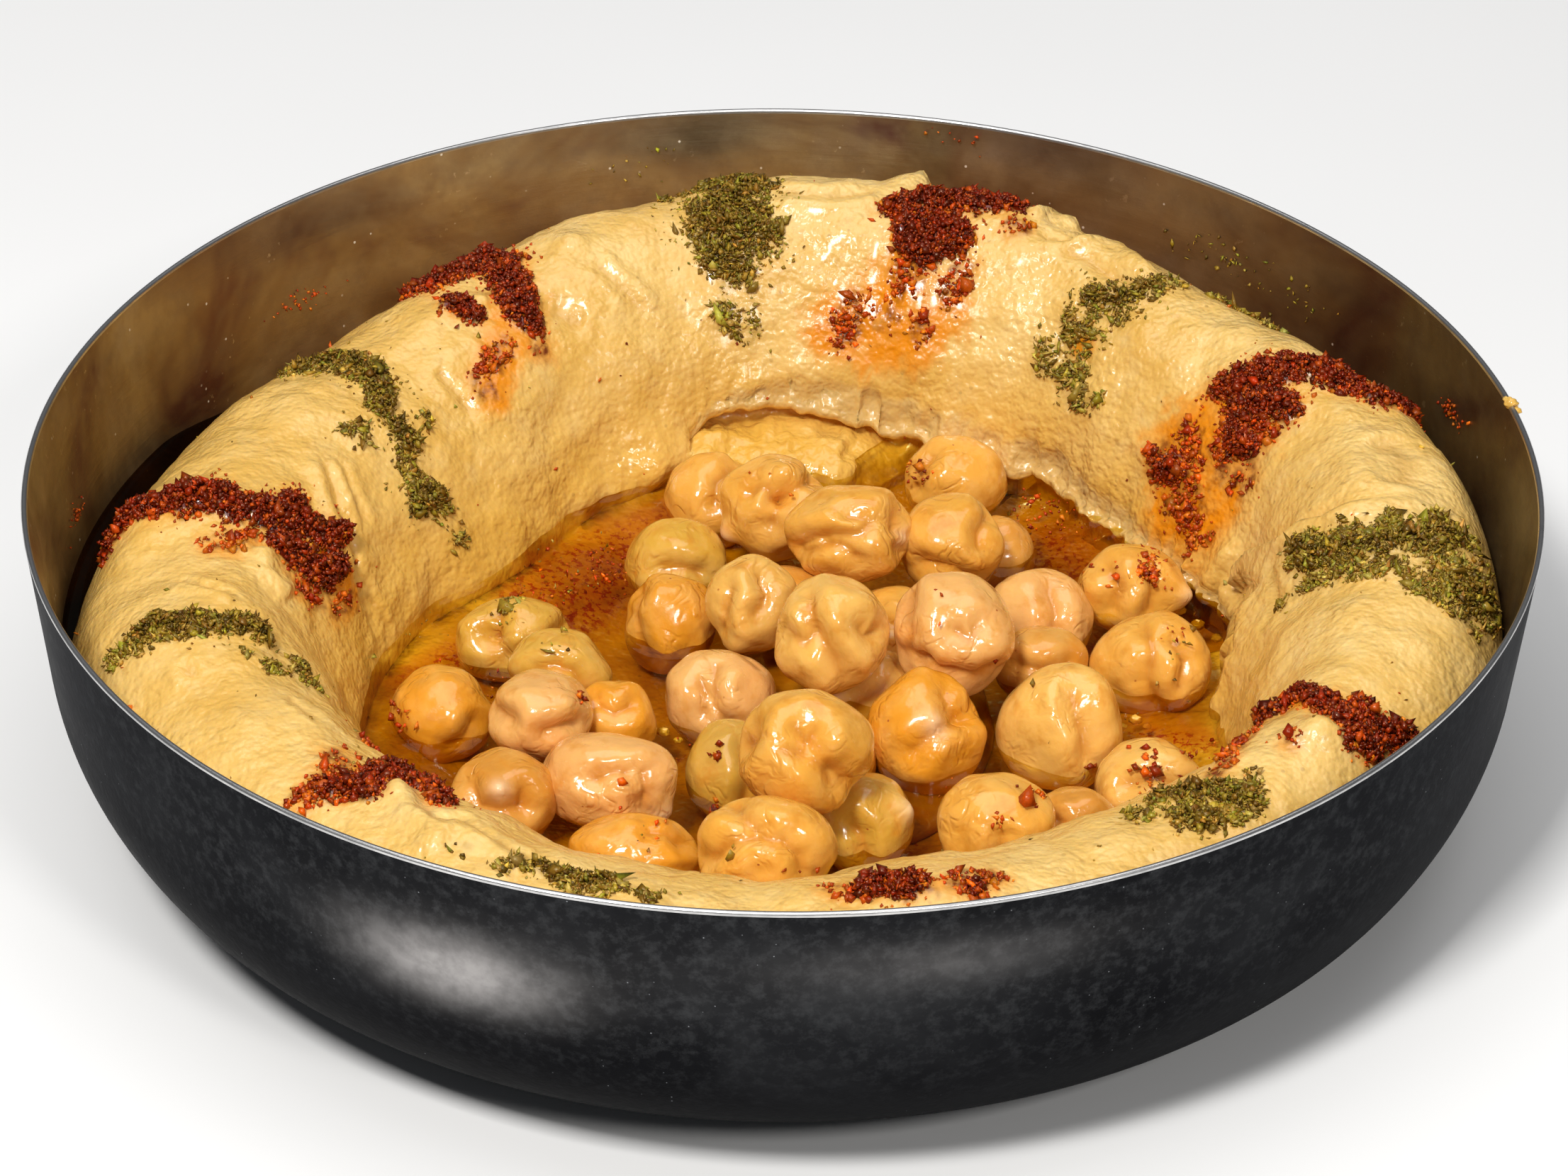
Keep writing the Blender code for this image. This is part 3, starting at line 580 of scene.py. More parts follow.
RED_TRAILS = (    # thinner: grains with the hummus showing between them
    ((-32.5, 38.5, 1.8), (-34, 35, 1.4), (-33.5, 33.5, 1.4)), ((-28, 41, 1.2),), ((28, 57.5, 0.8), (26, 58, 1.2)),
    ((14.5, 53.5, 2.0), (13.5, 55, 1.6)), ((20.5, 54, 1.4), (19, 52, 1.6)), ((7.5, 52.5, 2), (6.5, 51.5, 2)),
    ((11, 52, 1.6), (15, 51, 1.8)), ((50.5, 23.5, 3.0), (53, 22, 2.0)), ((46, 26, 3.2), (42.5, 28.5, 1.8)),
    ((50, 21.5, 2.6), (51.5, 20, 1.6)), ((45.5, 23, 2.8), (46.5, 20.5, 2.2)), ((-51, -4.5, 1.4),),
    ((-60, -3.5, 1.5), (-57, -1.5, 1.2)), ((47.5, -33, 1.5), (46, -36, 1.2), (45, -39.5, 1), (43.5, -43, 0.9)),
    ((51, -39.5, 1),), ((-47, -49, 1.2), (-45, -45.5, 1.2), (-44, -41, 1.5)), ((-42, -30.5, 0.8),),
    ((6, -63, 1.4), (14.5, -64, 1.2), (20.5, -61, 1.3)), ((-48, -2.5, 1.2), (-46.5, 1, 1.2)),
)
GREEN_PILES = (
    ((-9, 69, 1.8), (-7, 69, 2.2), (-4.5, 65.5, 2.3), (-8, 62.5, 2.6), (-5, 61.5, 2.8), (-9, 59, 2.3),
       (-6.5, 58.5, 2.8), (-3.5, 59, 2)), ((-8.5, 56.5, 1.5), (-5.5, 56, 1.5)),
    ((-54.5, 33.5, 1.4), (-52, 34, 1.8), (-50, 34, 2.1), (-47.5, 32.5, 1.8), (-46, 29.5, 1.5), (-45, 26, 1.4)),
    ((-43.5, 23.5, 1.4), (-42.5, 22.5, 1.4)),
    ((-40.5, 17.5, 1.5), (-39, 19, 1.2)), ((35.5, 47, 1.4), (37.5, 46, 1.7), (39.5, 45.5, 1.6), (41.5, 46, 1.3)),
    ((56, -0.5, 1), (57, -3, 1.4), (59.5, -4, 1.6), (61.5, -5.5, 1.6), (63.5, -5, 1.6), (66.5, -4, 1.6),
       (68, -4, 1.6), (71, -1.5, 1.3)),
    ((70.5, -10, 1.5), (74, -7, 1.3)),
    ((-66, -20.5, 1.3), (-64.5, -19.5, 1.4), (-62.5, -20, 1.3), (-60.5, -20, 1.4),
       (-58, -20, 1.3), (-56, -18.5, 1.4), (-54, -20, 1.2)),
    ((38, -46, 1.3), (39.5, -46, 1.4), (42, -46, 1.5), (44, -47, 1.5), (46, -47.5, 1.1)),
    ((40, -50, 1.3), (42, -50, 1.3)),
    ((-23, -60, 0.9), (-20.5, -61.5, 0.8), (-18.5, -62, 0.9), (-16.5, -62, 0.9)),
)
GREEN_TRAILS = (
    ((-14, 66, 1.0), (-12, 68.5, 1.0)), ((-7.5, 54, 1.5), (-4.5, 55, 1.3)), ((-2, 58.5, 1.8),),
    ((-7, 52, 1.7), (-5.5, 51.5, 1.6), (-4, 51, 1.4)), ((-47.5, 20.5, 1.6), (-47, 19.5, 1.2)), ((-41, 26.5, 1.1),),
    ((-38.5, 18.5, 1.5), (-42, 19.5, 1.2)), ((-36, 18, 1.2),), ((44, 48, 1.2), (41.5, 46.5, 1.5)),
    ((33.5, 45, 1.7), (35.5, 44.5, 1.8), (37.5, 43.5, 1.6)), ((34.5, 42, 2.0), (36.5, 41.5, 1.6)),
    ((30.5, 45.5, 1.4), (31, 43.5, 2.0), (33.5, 41, 1.7)), ((34, 39, 1.3), (35.5, 38, 1.0)),
    ((50, 47.5, 0.9), (53, 44.5, 1.1), (56.5, 41.5, 0.9)),
    ((57, -5, 1.9), (62, -7.5, 2.0), (65, -8, 2.2), (67.5, -8, 2.2), (71, -5.5, 2.2), (74.5, -3, 1.6)),
    ((56, -1.5, 1.8), (62, -3, 2.0), (68, -1.5, 2.0), (73, 0, 1.6)),
    ((67.5, -11, 1.8), (70.5, -12, 1.6), (72, -13.5, 1.4), (74.5, -9, 1.6)), ((55, -6, 1.2), (54, -5, 1)),
    ((-68.5, -21.5, 1.3), (-64, -22, 1.2)), ((-53.5, -24, 1.3), (-52, -25, 1.3), (-50, -21, 1.2), (-48.5, -24, 1.3)),
    ((35.5, -48.5, 1.3), (38, -48.5, 1.5), (44.5, -50, 1.4), (47, -46.5, 1.0)), ((46.5, -44.5, 0.9),),
    ((-26.5, -60.5, 0.9), (-24, -60, 1.1), (-14.5, -63.5, 1.1), (-11, -63.5, 1.0)), ((-30.5, -58, 1.0),),
)
STAINS = (    # where the red oil has run into the hummus: strokes of x, y, radius
    ((14, 55, 3.6), (9.5, 52.5, 3.8), (5, 51.5, 3.2)), ((9, 51, 3.6), (14, 50, 3.6), (19, 51, 3.0)),
    ((-31, 46, 3.0), (-33, 36, 3.0), (-33, 33, 2.0)), ((52, 25, 4.4), (46, 25.5, 4.6), (43.5, 24.5, 3.8), (45.5, 21.5, 3.6), (49, 20, 3.4)),
    ((50, 27.5, 3.6), (44, 29, 3.4)), ((-50, 2, 3.2), (-47, 1, 2.4)), ((-42, -45, 2.4), (-39, -41, 2.2)),
    ((47, -31, 2.2), (55, -31, 2.4)), ((34, 43, 1.6),),
)
SPICED = (    # where red spice lies under the oil
    ((-41.8, -1.9, 1.5), (-37.5, 3.7, 2.0), (-31.7, 10.9, 2.6), (-24.4, 22.7, 4.5), (-18.2, 29.5, 4.5), (-12.6, 34.2, 2.5)),
    ((-28, 14, 3.0), (-22, 16, 3.5), (-20, 24, 5.0)), ((30.5, 31.4, 4.0), (34.3, 25.5, 3.5)), ((38.1, -7.6, 1.8), (44.8, -10.1, 2.2)),
    ((-14.8, -23.7, 1.8),), ((-10.8, -8, 1.8),), ((-26.3, -32.7, 1.4),), ((14.1, -25.7, 1.6),), ((-33, -3, 1.6),),
)
# relief on the roll: kind, height, width, then points
RELIEF = (
    ("ridge", 0.5, 1.2, ((-2, 66.5, 35), (4.5, 64.5, 35), (11, 69, 33.5))),
    ("ridge", 0.4, 1, ((-1, 63, 34.5), (5.5, 62, 34), (11, 63.5, 34.5))),
    ("groove", 0.4, 0.8, ((-1.5, 64.5, 35), (5, 63.5, 34.5), (11, 65, 34.5))),
    ("groove", 0.9, 1.6, ((-28.5, 46, 29.5), (-25.5, 46, 28.5), (-23, 46, 27.5))),
    ("groove", 0.45, 0.8, ((-22.5, 53, 31.5), (-19.5, 51, 30), (-16, 49, 26.5))),
    ("ridge", 0.4, 0.8, ((-21.5, 54, 32), (-18.5, 52, 30), (-14.5, 50.5, 27))),
    ("ridge", 1.2, 1.6, ((-56, -2.5, 27), (-55, -6.5, 26.5), (-52, -8, 24.5))),
    ("groove", 0.55, 0.8, ((-51, 15, 28), (-48.5, 9.5, 25), (-46, 4.5, 19.5), (-43.5, 2.5, 12.5))),
    ("ridge", 0.6, 1.2, ((-52, 14.5, 28), (-49.5, 7.5, 25), (-47, 2.5, 20))),
    ("groove", 0.4, 0.6, ((-49, 16, 27.5), (-47.5, 12.5, 25), (-45.5, 10, 22))),
    ("groove", 0.4, 0.6, ((-45.5, 5.5, 19), (-44, 4.5, 15.5), (-43, 4.5, 11.5))),
    ("groove", 0.35, 0.6, ((-64.5, -9.5, 28), (-61, -12, 28.5), (-57, -14, 28))),
    ("ridge", 0.35, 0.8, ((-64.5, -11.5, 28), (-60.5, -13.5, 29), (-57, -16, 28.5))),
    ("groove", 0.8, 0.4, ((-62, -25.5, 28), (-61, -26, 28), (-60, -28, 28))),
    ("groove", 0.4, 0.7, ((-39.5, 34.5, 28), (-37.5, 32.5, 26.5), (-35, 30.5, 24.5))),
    ("ridge", 1.6, 1, ((28.5, 60, 34), (30.5, 63, 32.5), (32, 62, 32.5), (33.5, 61.5, 32), (34.5, 61.5, 31.5))),
    ("groove", 0.8, 0.8, ((29.5, 57, 33.5), (32.5, 56.5, 33.5), (35, 57.5, 33))),
    ("ridge", 0.9, 1.3, ((32, 56, 33), (35.5, 56.5, 33), (38.5, 56, 32.5), (40.5, 51.5, 33), (42.5, 48, 33))),
    ("groove", 0.8, 0.9, ((32, 54.5, 33), (35, 53, 33), (37, 50.5, 33), (40.5, 47.5, 33))),
    ("step", 1.5, 1.2, ((49, -4, 11), (49.5, -2.5, 14), (50, 2.5, 15.5), (50, 12, 14), (51, 13, 17.5), (53, 10, 21), (55, 4, 26.5), (56.5, 4, 28.5), (58.5, 2.5, 30))),
    ("groove", 0.5, 0.7, ((55, 2, 26), (53.5, 2, 23.5), (53, -3.5, 22.5), (52, -6.5, 20), (51.5, -6.5, 19.5))),
    ("groove", 1, 3, ((65, 15, 32.5), (67, 10.5, 32.5), (67, 4.5, 32.5))),
    ("ridge", 0.8, 1.5, ((50.5, -39.5, 29.5), (53.5, -38, 29), (57.5, -38.5, 28), (60, -38, 26.5))),
    ("ridge", 0.6, 1, ((50, 0.5, 15.5), (49, -2.5, 12), (49, -4.5, 10.5), (48.5, -6.5, 7.5), (44.5, -36.5, 26.5))),
    ("ridge", 1.2, 1.4, ((-38.5, -46.5, 27), (-36, -52, 28.5), (-34, -54.5, 29), (-33, -58.5, 28.5))),
    ("ridge", 0.9, 1.8, ((-33, -54.5, 29), (-29.5, -56, 28.5), (-26.5, -57.5, 28), (-24, -59, 28))),
    ("groove", 0.5, 0.8, ((-35, -52.5, 28.5), (-31, -52, 28), (-27.5, -56, 28.5), (-24, -59, 28))),
    ("groove", 0.4, 0.7, ((-50, -30.5, 27.5), (-48, -33, 27), (-46.5, -35.5, 27))),
    ("groove", 0.4, 0.7, ((-46.5, -24.5, 22.5), (-45, -15.5, 13))),
)
# lumps: x, y, z, radius, height
LUMPS = (
    (14.5, 68, 33.5, 2.2, 1.6), 
    (16, 68, 33.5, 0.9, 1.2),
    (-25, 55.5, 32.5, 1.8, 1), 
    (-35, 44.5, 30.5, 1.3, 1), 
    (-16, 41, 12, 3, 1), 
    (49.5, 15.5, 16, 1.5, 1.2), 
    (48, 16, 13, 1.5, 1.2), 
    (49.5, 13, 13, 1.3, 1), 
    (53.5, -38, 29, 2, 1.2), 
    (-37, -48, 27.5, 2.1, 0.7), 
    (-15.5, 42, 11.5, 3.6, 1.6),
    (-20.5, 38, 11, 3.4, 1.3),
    (-24.5, 35, 11, 2.6, 1.0),
    (-12, 43.5, 12.5, 2.2, 0.9),
)


def pile_field(points, piles, lift, reach=1.0, seed=0):
    """How deep inside a pile of strokes each point is, from 0 at its edge to 1."""
    edge = 1 + 0.5 * noise(points, 2.6, seed) + 0.5 * noise(points, 1.2, seed + 1) + 0.4 * noise(points, 0.7, seed + 2)
    best = np.zeros(len(points))
    for stroke in piles:
        line = np.array([(x, y, lift(x, y)) for x, y, _ in stroke])
        radius = np.array([r for _, _, r in stroke])
        close = np.linalg.norm(points - line.mean(0), axis=1) < np.ptp(line, axis=0).max() + 9
        far, along = to_line(points[close], line)
        size = np.interp(along, np.linspace(0, 1, len(radius)), radius) * reach if len(radius) > 1 else radius[0] * reach
        best[close] = np.maximum(best[close], 1 - far / (size * edge[close] * 1.35))
    return np.clip(best, 0, 1)


class Roll:
    """The hummus: its displaced mesh and what lies on it."""

    def __init__(self):
        grid, self.az = roll_grid()
        self.rows = grid.shape[1]
        p = grid.reshape(-1, 3)
        quads = grid_faces(N_AZ, self.rows)[:, ::-1]
        normal = normals_of(p, quads)
        row = np.tile(np.arange(self.rows), N_AZ)
        shown = (row > N_FLOOR - 2) & (row < N_FLOOR + N_FACE + N_BACK)
        face_top = N_FLOOR + N_FACE
        free = np.where(row < face_top, 1.0, smooth((N_FLOOR + N_FACE + N_BACK - row) / (N_BACK * 0.9)))
        az = np.repeat(self.az, self.rows)
        torn = torn_at(az)
        up = (row - N_FLOOR) / (TORN_ROWS * (N_FACE - 1))       # 0 to 1 from the foot to the torn edge
        tucked = torn * (up < 0.98) * (row >= N_FLOOR)
        shelf = tucked * smooth((az - 75.5) / 4.0) * smooth((up - 0.10) / 0.1) * smooth((0.70 - up) / 0.08)
        free = free * np.where(row < N_FLOOR, 0.55, 1.0) * (1 - 0.6 * tucked * (1 - shelf))
        lip_z = np.interp(az, *np.array(LIP)[:, :2].T)
        tall = np.interp(az, (9, 14, 25, 45, 68, 80, 92, 100, 105), (0.5, 1.5, 2.5, 3.6, 4.6, 4.4, 3.0, 1.4, 0.4))
        above = torn * (up >= 0.90) * smooth((lip_z + tall + 0.9 * noise(p, 3.5, 17) + 0.5 * noise(p, 1.5, 27) - p[:, 2]) / 0.7)
        base = p.copy()
        self.base, self.row = base, row
        self.top_rows = (row >= N_FLOOR) & (row < N_FLOOR + N_FACE + N_BACK) & (tucked < 0.5)
        push = 0.9 * noise(p, 17, 1) + 0.65 * noise(p, 8, 2) + 0.42 * noise(p, 4, 3)
        rugged = 0.45 + 0.55 * smooth(0.45 + 1.2 * noise(p, 15, 15))       # smeared smooth in places
        push = push + (0.20 * noise(p, 2.1, 4) + 0.15 * noise(p, 1.1, 5)) * rugged
        # spoon drags: shallow streaks along and across the roll, and folds where it was smeared
        drag = np.stack([az * 0.14, p[:, 2], np.hypot(p[:, 0], p[:, 1])], 1)
        push = push + 0.15 * ridge(drag, 3.6, 9) * smooth(0.3 + 1.3 * noise(p, 14, 10)) * (1 - above)
        drag = np.stack([az * 0.9, p[:, 2] * 0.22, np.hypot(p[:, 0], p[:, 1]) * 0.22], 1)
        push = push + 0.16 * ridge(drag, 3.2, 11) * smooth(0.2 + 1.4 * noise(p, 16, 13)) * (1 - above)
        layers = np.stack([az * 0.84, p[:, 2] * 2.0, np.hypot(p[:, 0], p[:, 1])], 1)
        push = push + above * (1.05 * noise(p, 2.3, 18) + 0.62 * noise(p, 1.2, 19) + 0.45 * noise(layers, 2.8, 20) - 0.60)
        push = push + shelf * (0.95 * noise(p, 3.2, 26) + 0.60 * noise(p, 1.5, 28) + 0.30 * noise(p, 0.9, 29))
        pits = np.clip(noise(p, 1.7, 12) - 0.50, 0, 1) * (0.4 + 0.6 * rugged) * 1.2
        push = push - 0.8 * pits
        crease_shade = np.clip(pits * 2.0, 0, 1)
        for kind, height, width, line in RELIEF:
            line = np.array(line)
            close = np.linalg.norm(p - line.mean(0), axis=1) < np.ptp(line, axis=0).max() + 14
            far, along = to_line(p[close], line)
            far = far + 0.35 * width * noise(p[close], 1.6, 14)
            fade = smooth(along / 0.12) * smooth((1 - along) / 0.12)
            if kind == "groove":
                push[close] -= height * np.exp(-(far / width) ** 2) * fade
                push[close] += 0.35 * height * np.exp(-((far - 2 * width) / width) ** 2) * fade
                crease_shade[close] = np.maximum(crease_shade[close], 0.7 * np.exp(-(far / (0.5 * width)) ** 2) * fade)
            elif kind == "ridge":
                push[close] += height * np.exp(-(far / width) ** 2) * fade
            else:       # one end of the roll laps over the other, on the side of lower azimuth
                ends = np.concatenate([[0], np.cumsum(np.linalg.norm(np.diff(line, axis=0), axis=1))])
                line_az = np.interp(along * ends[-1], ends, np.degrees(np.arctan2(line[:, 1], line[:, 0])))
                side = turn_to(line_az, az[close]) * 0.9
                push[close] += height * (smooth(side / 0.8) * np.exp(-np.abs(far) / 7) * 1.25 - 0.55 * np.exp(-(far / width) ** 2)
                                         * (side < 0.4))
                crease_shade[close] = np.maximum(crease_shade[close], np.exp(-(far / (0.45 * width)) ** 2) * (side < 0.5))
        for x, y, z, radius, height in LUMPS:
            far = np.linalg.norm(p - (x, y, z), axis=1)
            push += height * np.exp(-(far / radius) ** 2)
        lift = self.height
        red, green = (pile_field(p, piles, lift, 1.05, seed) for piles, seed in ((RED_PILES, 31), (GREEN_PILES, 41)))
        red_trail, green_trail = (pile_field(p, piles, lift, 1.1, seed) for piles, seed in ((RED_TRAILS, 34), (GREEN_TRAILS, 44)))
        self.red, self.green, self.red_trail, self.green_trail = red, green, red_trail, green_trail
        heaped = smooth(red * 1.8) * (0.60 + 0.7 * noise(p, 1.6, 21) + 0.3 * noise(p, 0.8, 23))
        heaped = heaped + smooth(green * 1.6) * (0.32 + 0.35 * noise(p, 1.3, 22))
        heaped = heaped + 0.25 * smooth(np.maximum(red_trail, green_trail) * 1.5) * (0.5 + noise(p, 1.1, 24))
        push = push + heaped
        p = p + normal * (push * free)[:, None]
        # stay inside the bowl and off the floor's underside
        radius = np.hypot(p[:, 0], p[:, 1])
        z = np.clip(p[:, 2], 1.6, 37.0)
        most = wall_radius(z) - 0.05
        p[:, :2] *= np.minimum(1, most / np.maximum(radius, 1e-6))[:, None]
        keep = row >= N_FLOOR + N_FACE + N_BACK
        p[keep] = base[keep]
        self.points, self.quads, self.normal = p, quads, normals_of(p, quads)
        radius = np.hypot(p[:, 0], p[:, 1])
        depth = np.where(radius < 56, np.clip(OIL - p[:, 2], 0, 9), 0)
        gap = (radius > 66) & (np.abs(turn_to(az, 181)) < 40)
        depth = np.where(gap, np.clip(GAP_OIL - p[:, 2], 0, 9), depth)
        stain = pile_field(p, STAINS, lift, 1.05, 51)
        halo = pile_field(p, RED_PILES + RED_TRAILS, lift, 1.8, 61)
        near_oil = smooth((12.5 - p[:, 2]) / 3.0) * (radius < 56)
        inner = smooth((p[:, 2] - 4.0) / 2.0) * (row < face_top)
        low = smooth((27.0 - p[:, 2]) / 17.0) * inner * np.clip(0.8 + 0.5 * noise(p, 7, 16), 0, 1)
        low = np.clip(low + 0.30 * np.exp(-(turn_to(az, 172) / 42) ** 2) + 0.1 * shelf, 0, 1)
        rough_side = np.exp(-(turn_to(az, 48) / 34) ** 2)
        lobe = np.exp(-(turn_to(az, 114) / 9) ** 2) * smooth((16 - p[:, 2]) / 3) * (row < face_top)
        flat = p * (1, 1, 0)
        spiced = smooth(1.5 * pile_field(flat, SPICED, lambda x, y: 0.0, 1.0, 81)) * (depth > 0)
        clotted = smooth(0.55 + 1.6 * noise(p, 1.5, 25))
        self.shades = {
            "red": np.maximum(smooth(red * 2.2), 0.55 * smooth(red_trail * 1.6) * clotted),
            "green": np.maximum(0.9 * smooth(green * 1.6), 0.50 * smooth(green_trail * 1.5) * clotted),
            "stain": np.maximum(0.9 * smooth(stain * 1.5), 0.55 * smooth(halo * 1.3)), "depth": depth, "low": low,
            "crease_shade": crease_shade, "wet": np.clip(near_oil + 0.12 * smooth(red * 2) + shelf + 1.2 * lobe, 0, 1),
            "grain": np.clip(0.74 + 0.26 * rough_side + 0.3 * above, 0, 1), "torn": above, "spiced": spiced,
        }

    def height(self, x, y):
        """Height of the undisplaced surface at x, y."""
        if not hasattr(self, "top_points"):
            self.top_points = self.base[self.top_rows]
        i = ((self.top_points[:, 0] - x) ** 2 + (self.top_points[:, 1] - y) ** 2).argmin()
        return self.top_points[i, 2]

    def radius_at(self, az, z):
        """Radius of the face where it first rises through z, for each azimuth."""
        grid = self.points.reshape(N_AZ, self.rows, 3)
        found = []
        for a in az:
            column = grid[int(round(a / 360 * N_AZ)) % N_AZ, 3:N_FLOOR + N_FACE]
            k = np.argmax(column[:, 2] > z)
            found.append(np.hypot(*column[k, :2]))
        return np.array(found)


# ------------------------------------------------------------------ chickpeas
VIEW_RIGHT, VIEW_UP, VIEW_NEAR = np.array([1, 0, 0.0]), np.array([0, 0.547, 0.837]), np.array([0, -0.837, 0.547])
TONES = {
    "plain": (0.80, 0.385, 0.055), "pink": (0.80, 0.41, 0.125), "deep": (0.78, 0.315, 0.020), "pale": (0.82, 0.45, 0.095),
    "olive": (0.66, 0.36, 0.045), "brown": (0.64, 0.27, 0.035),
}
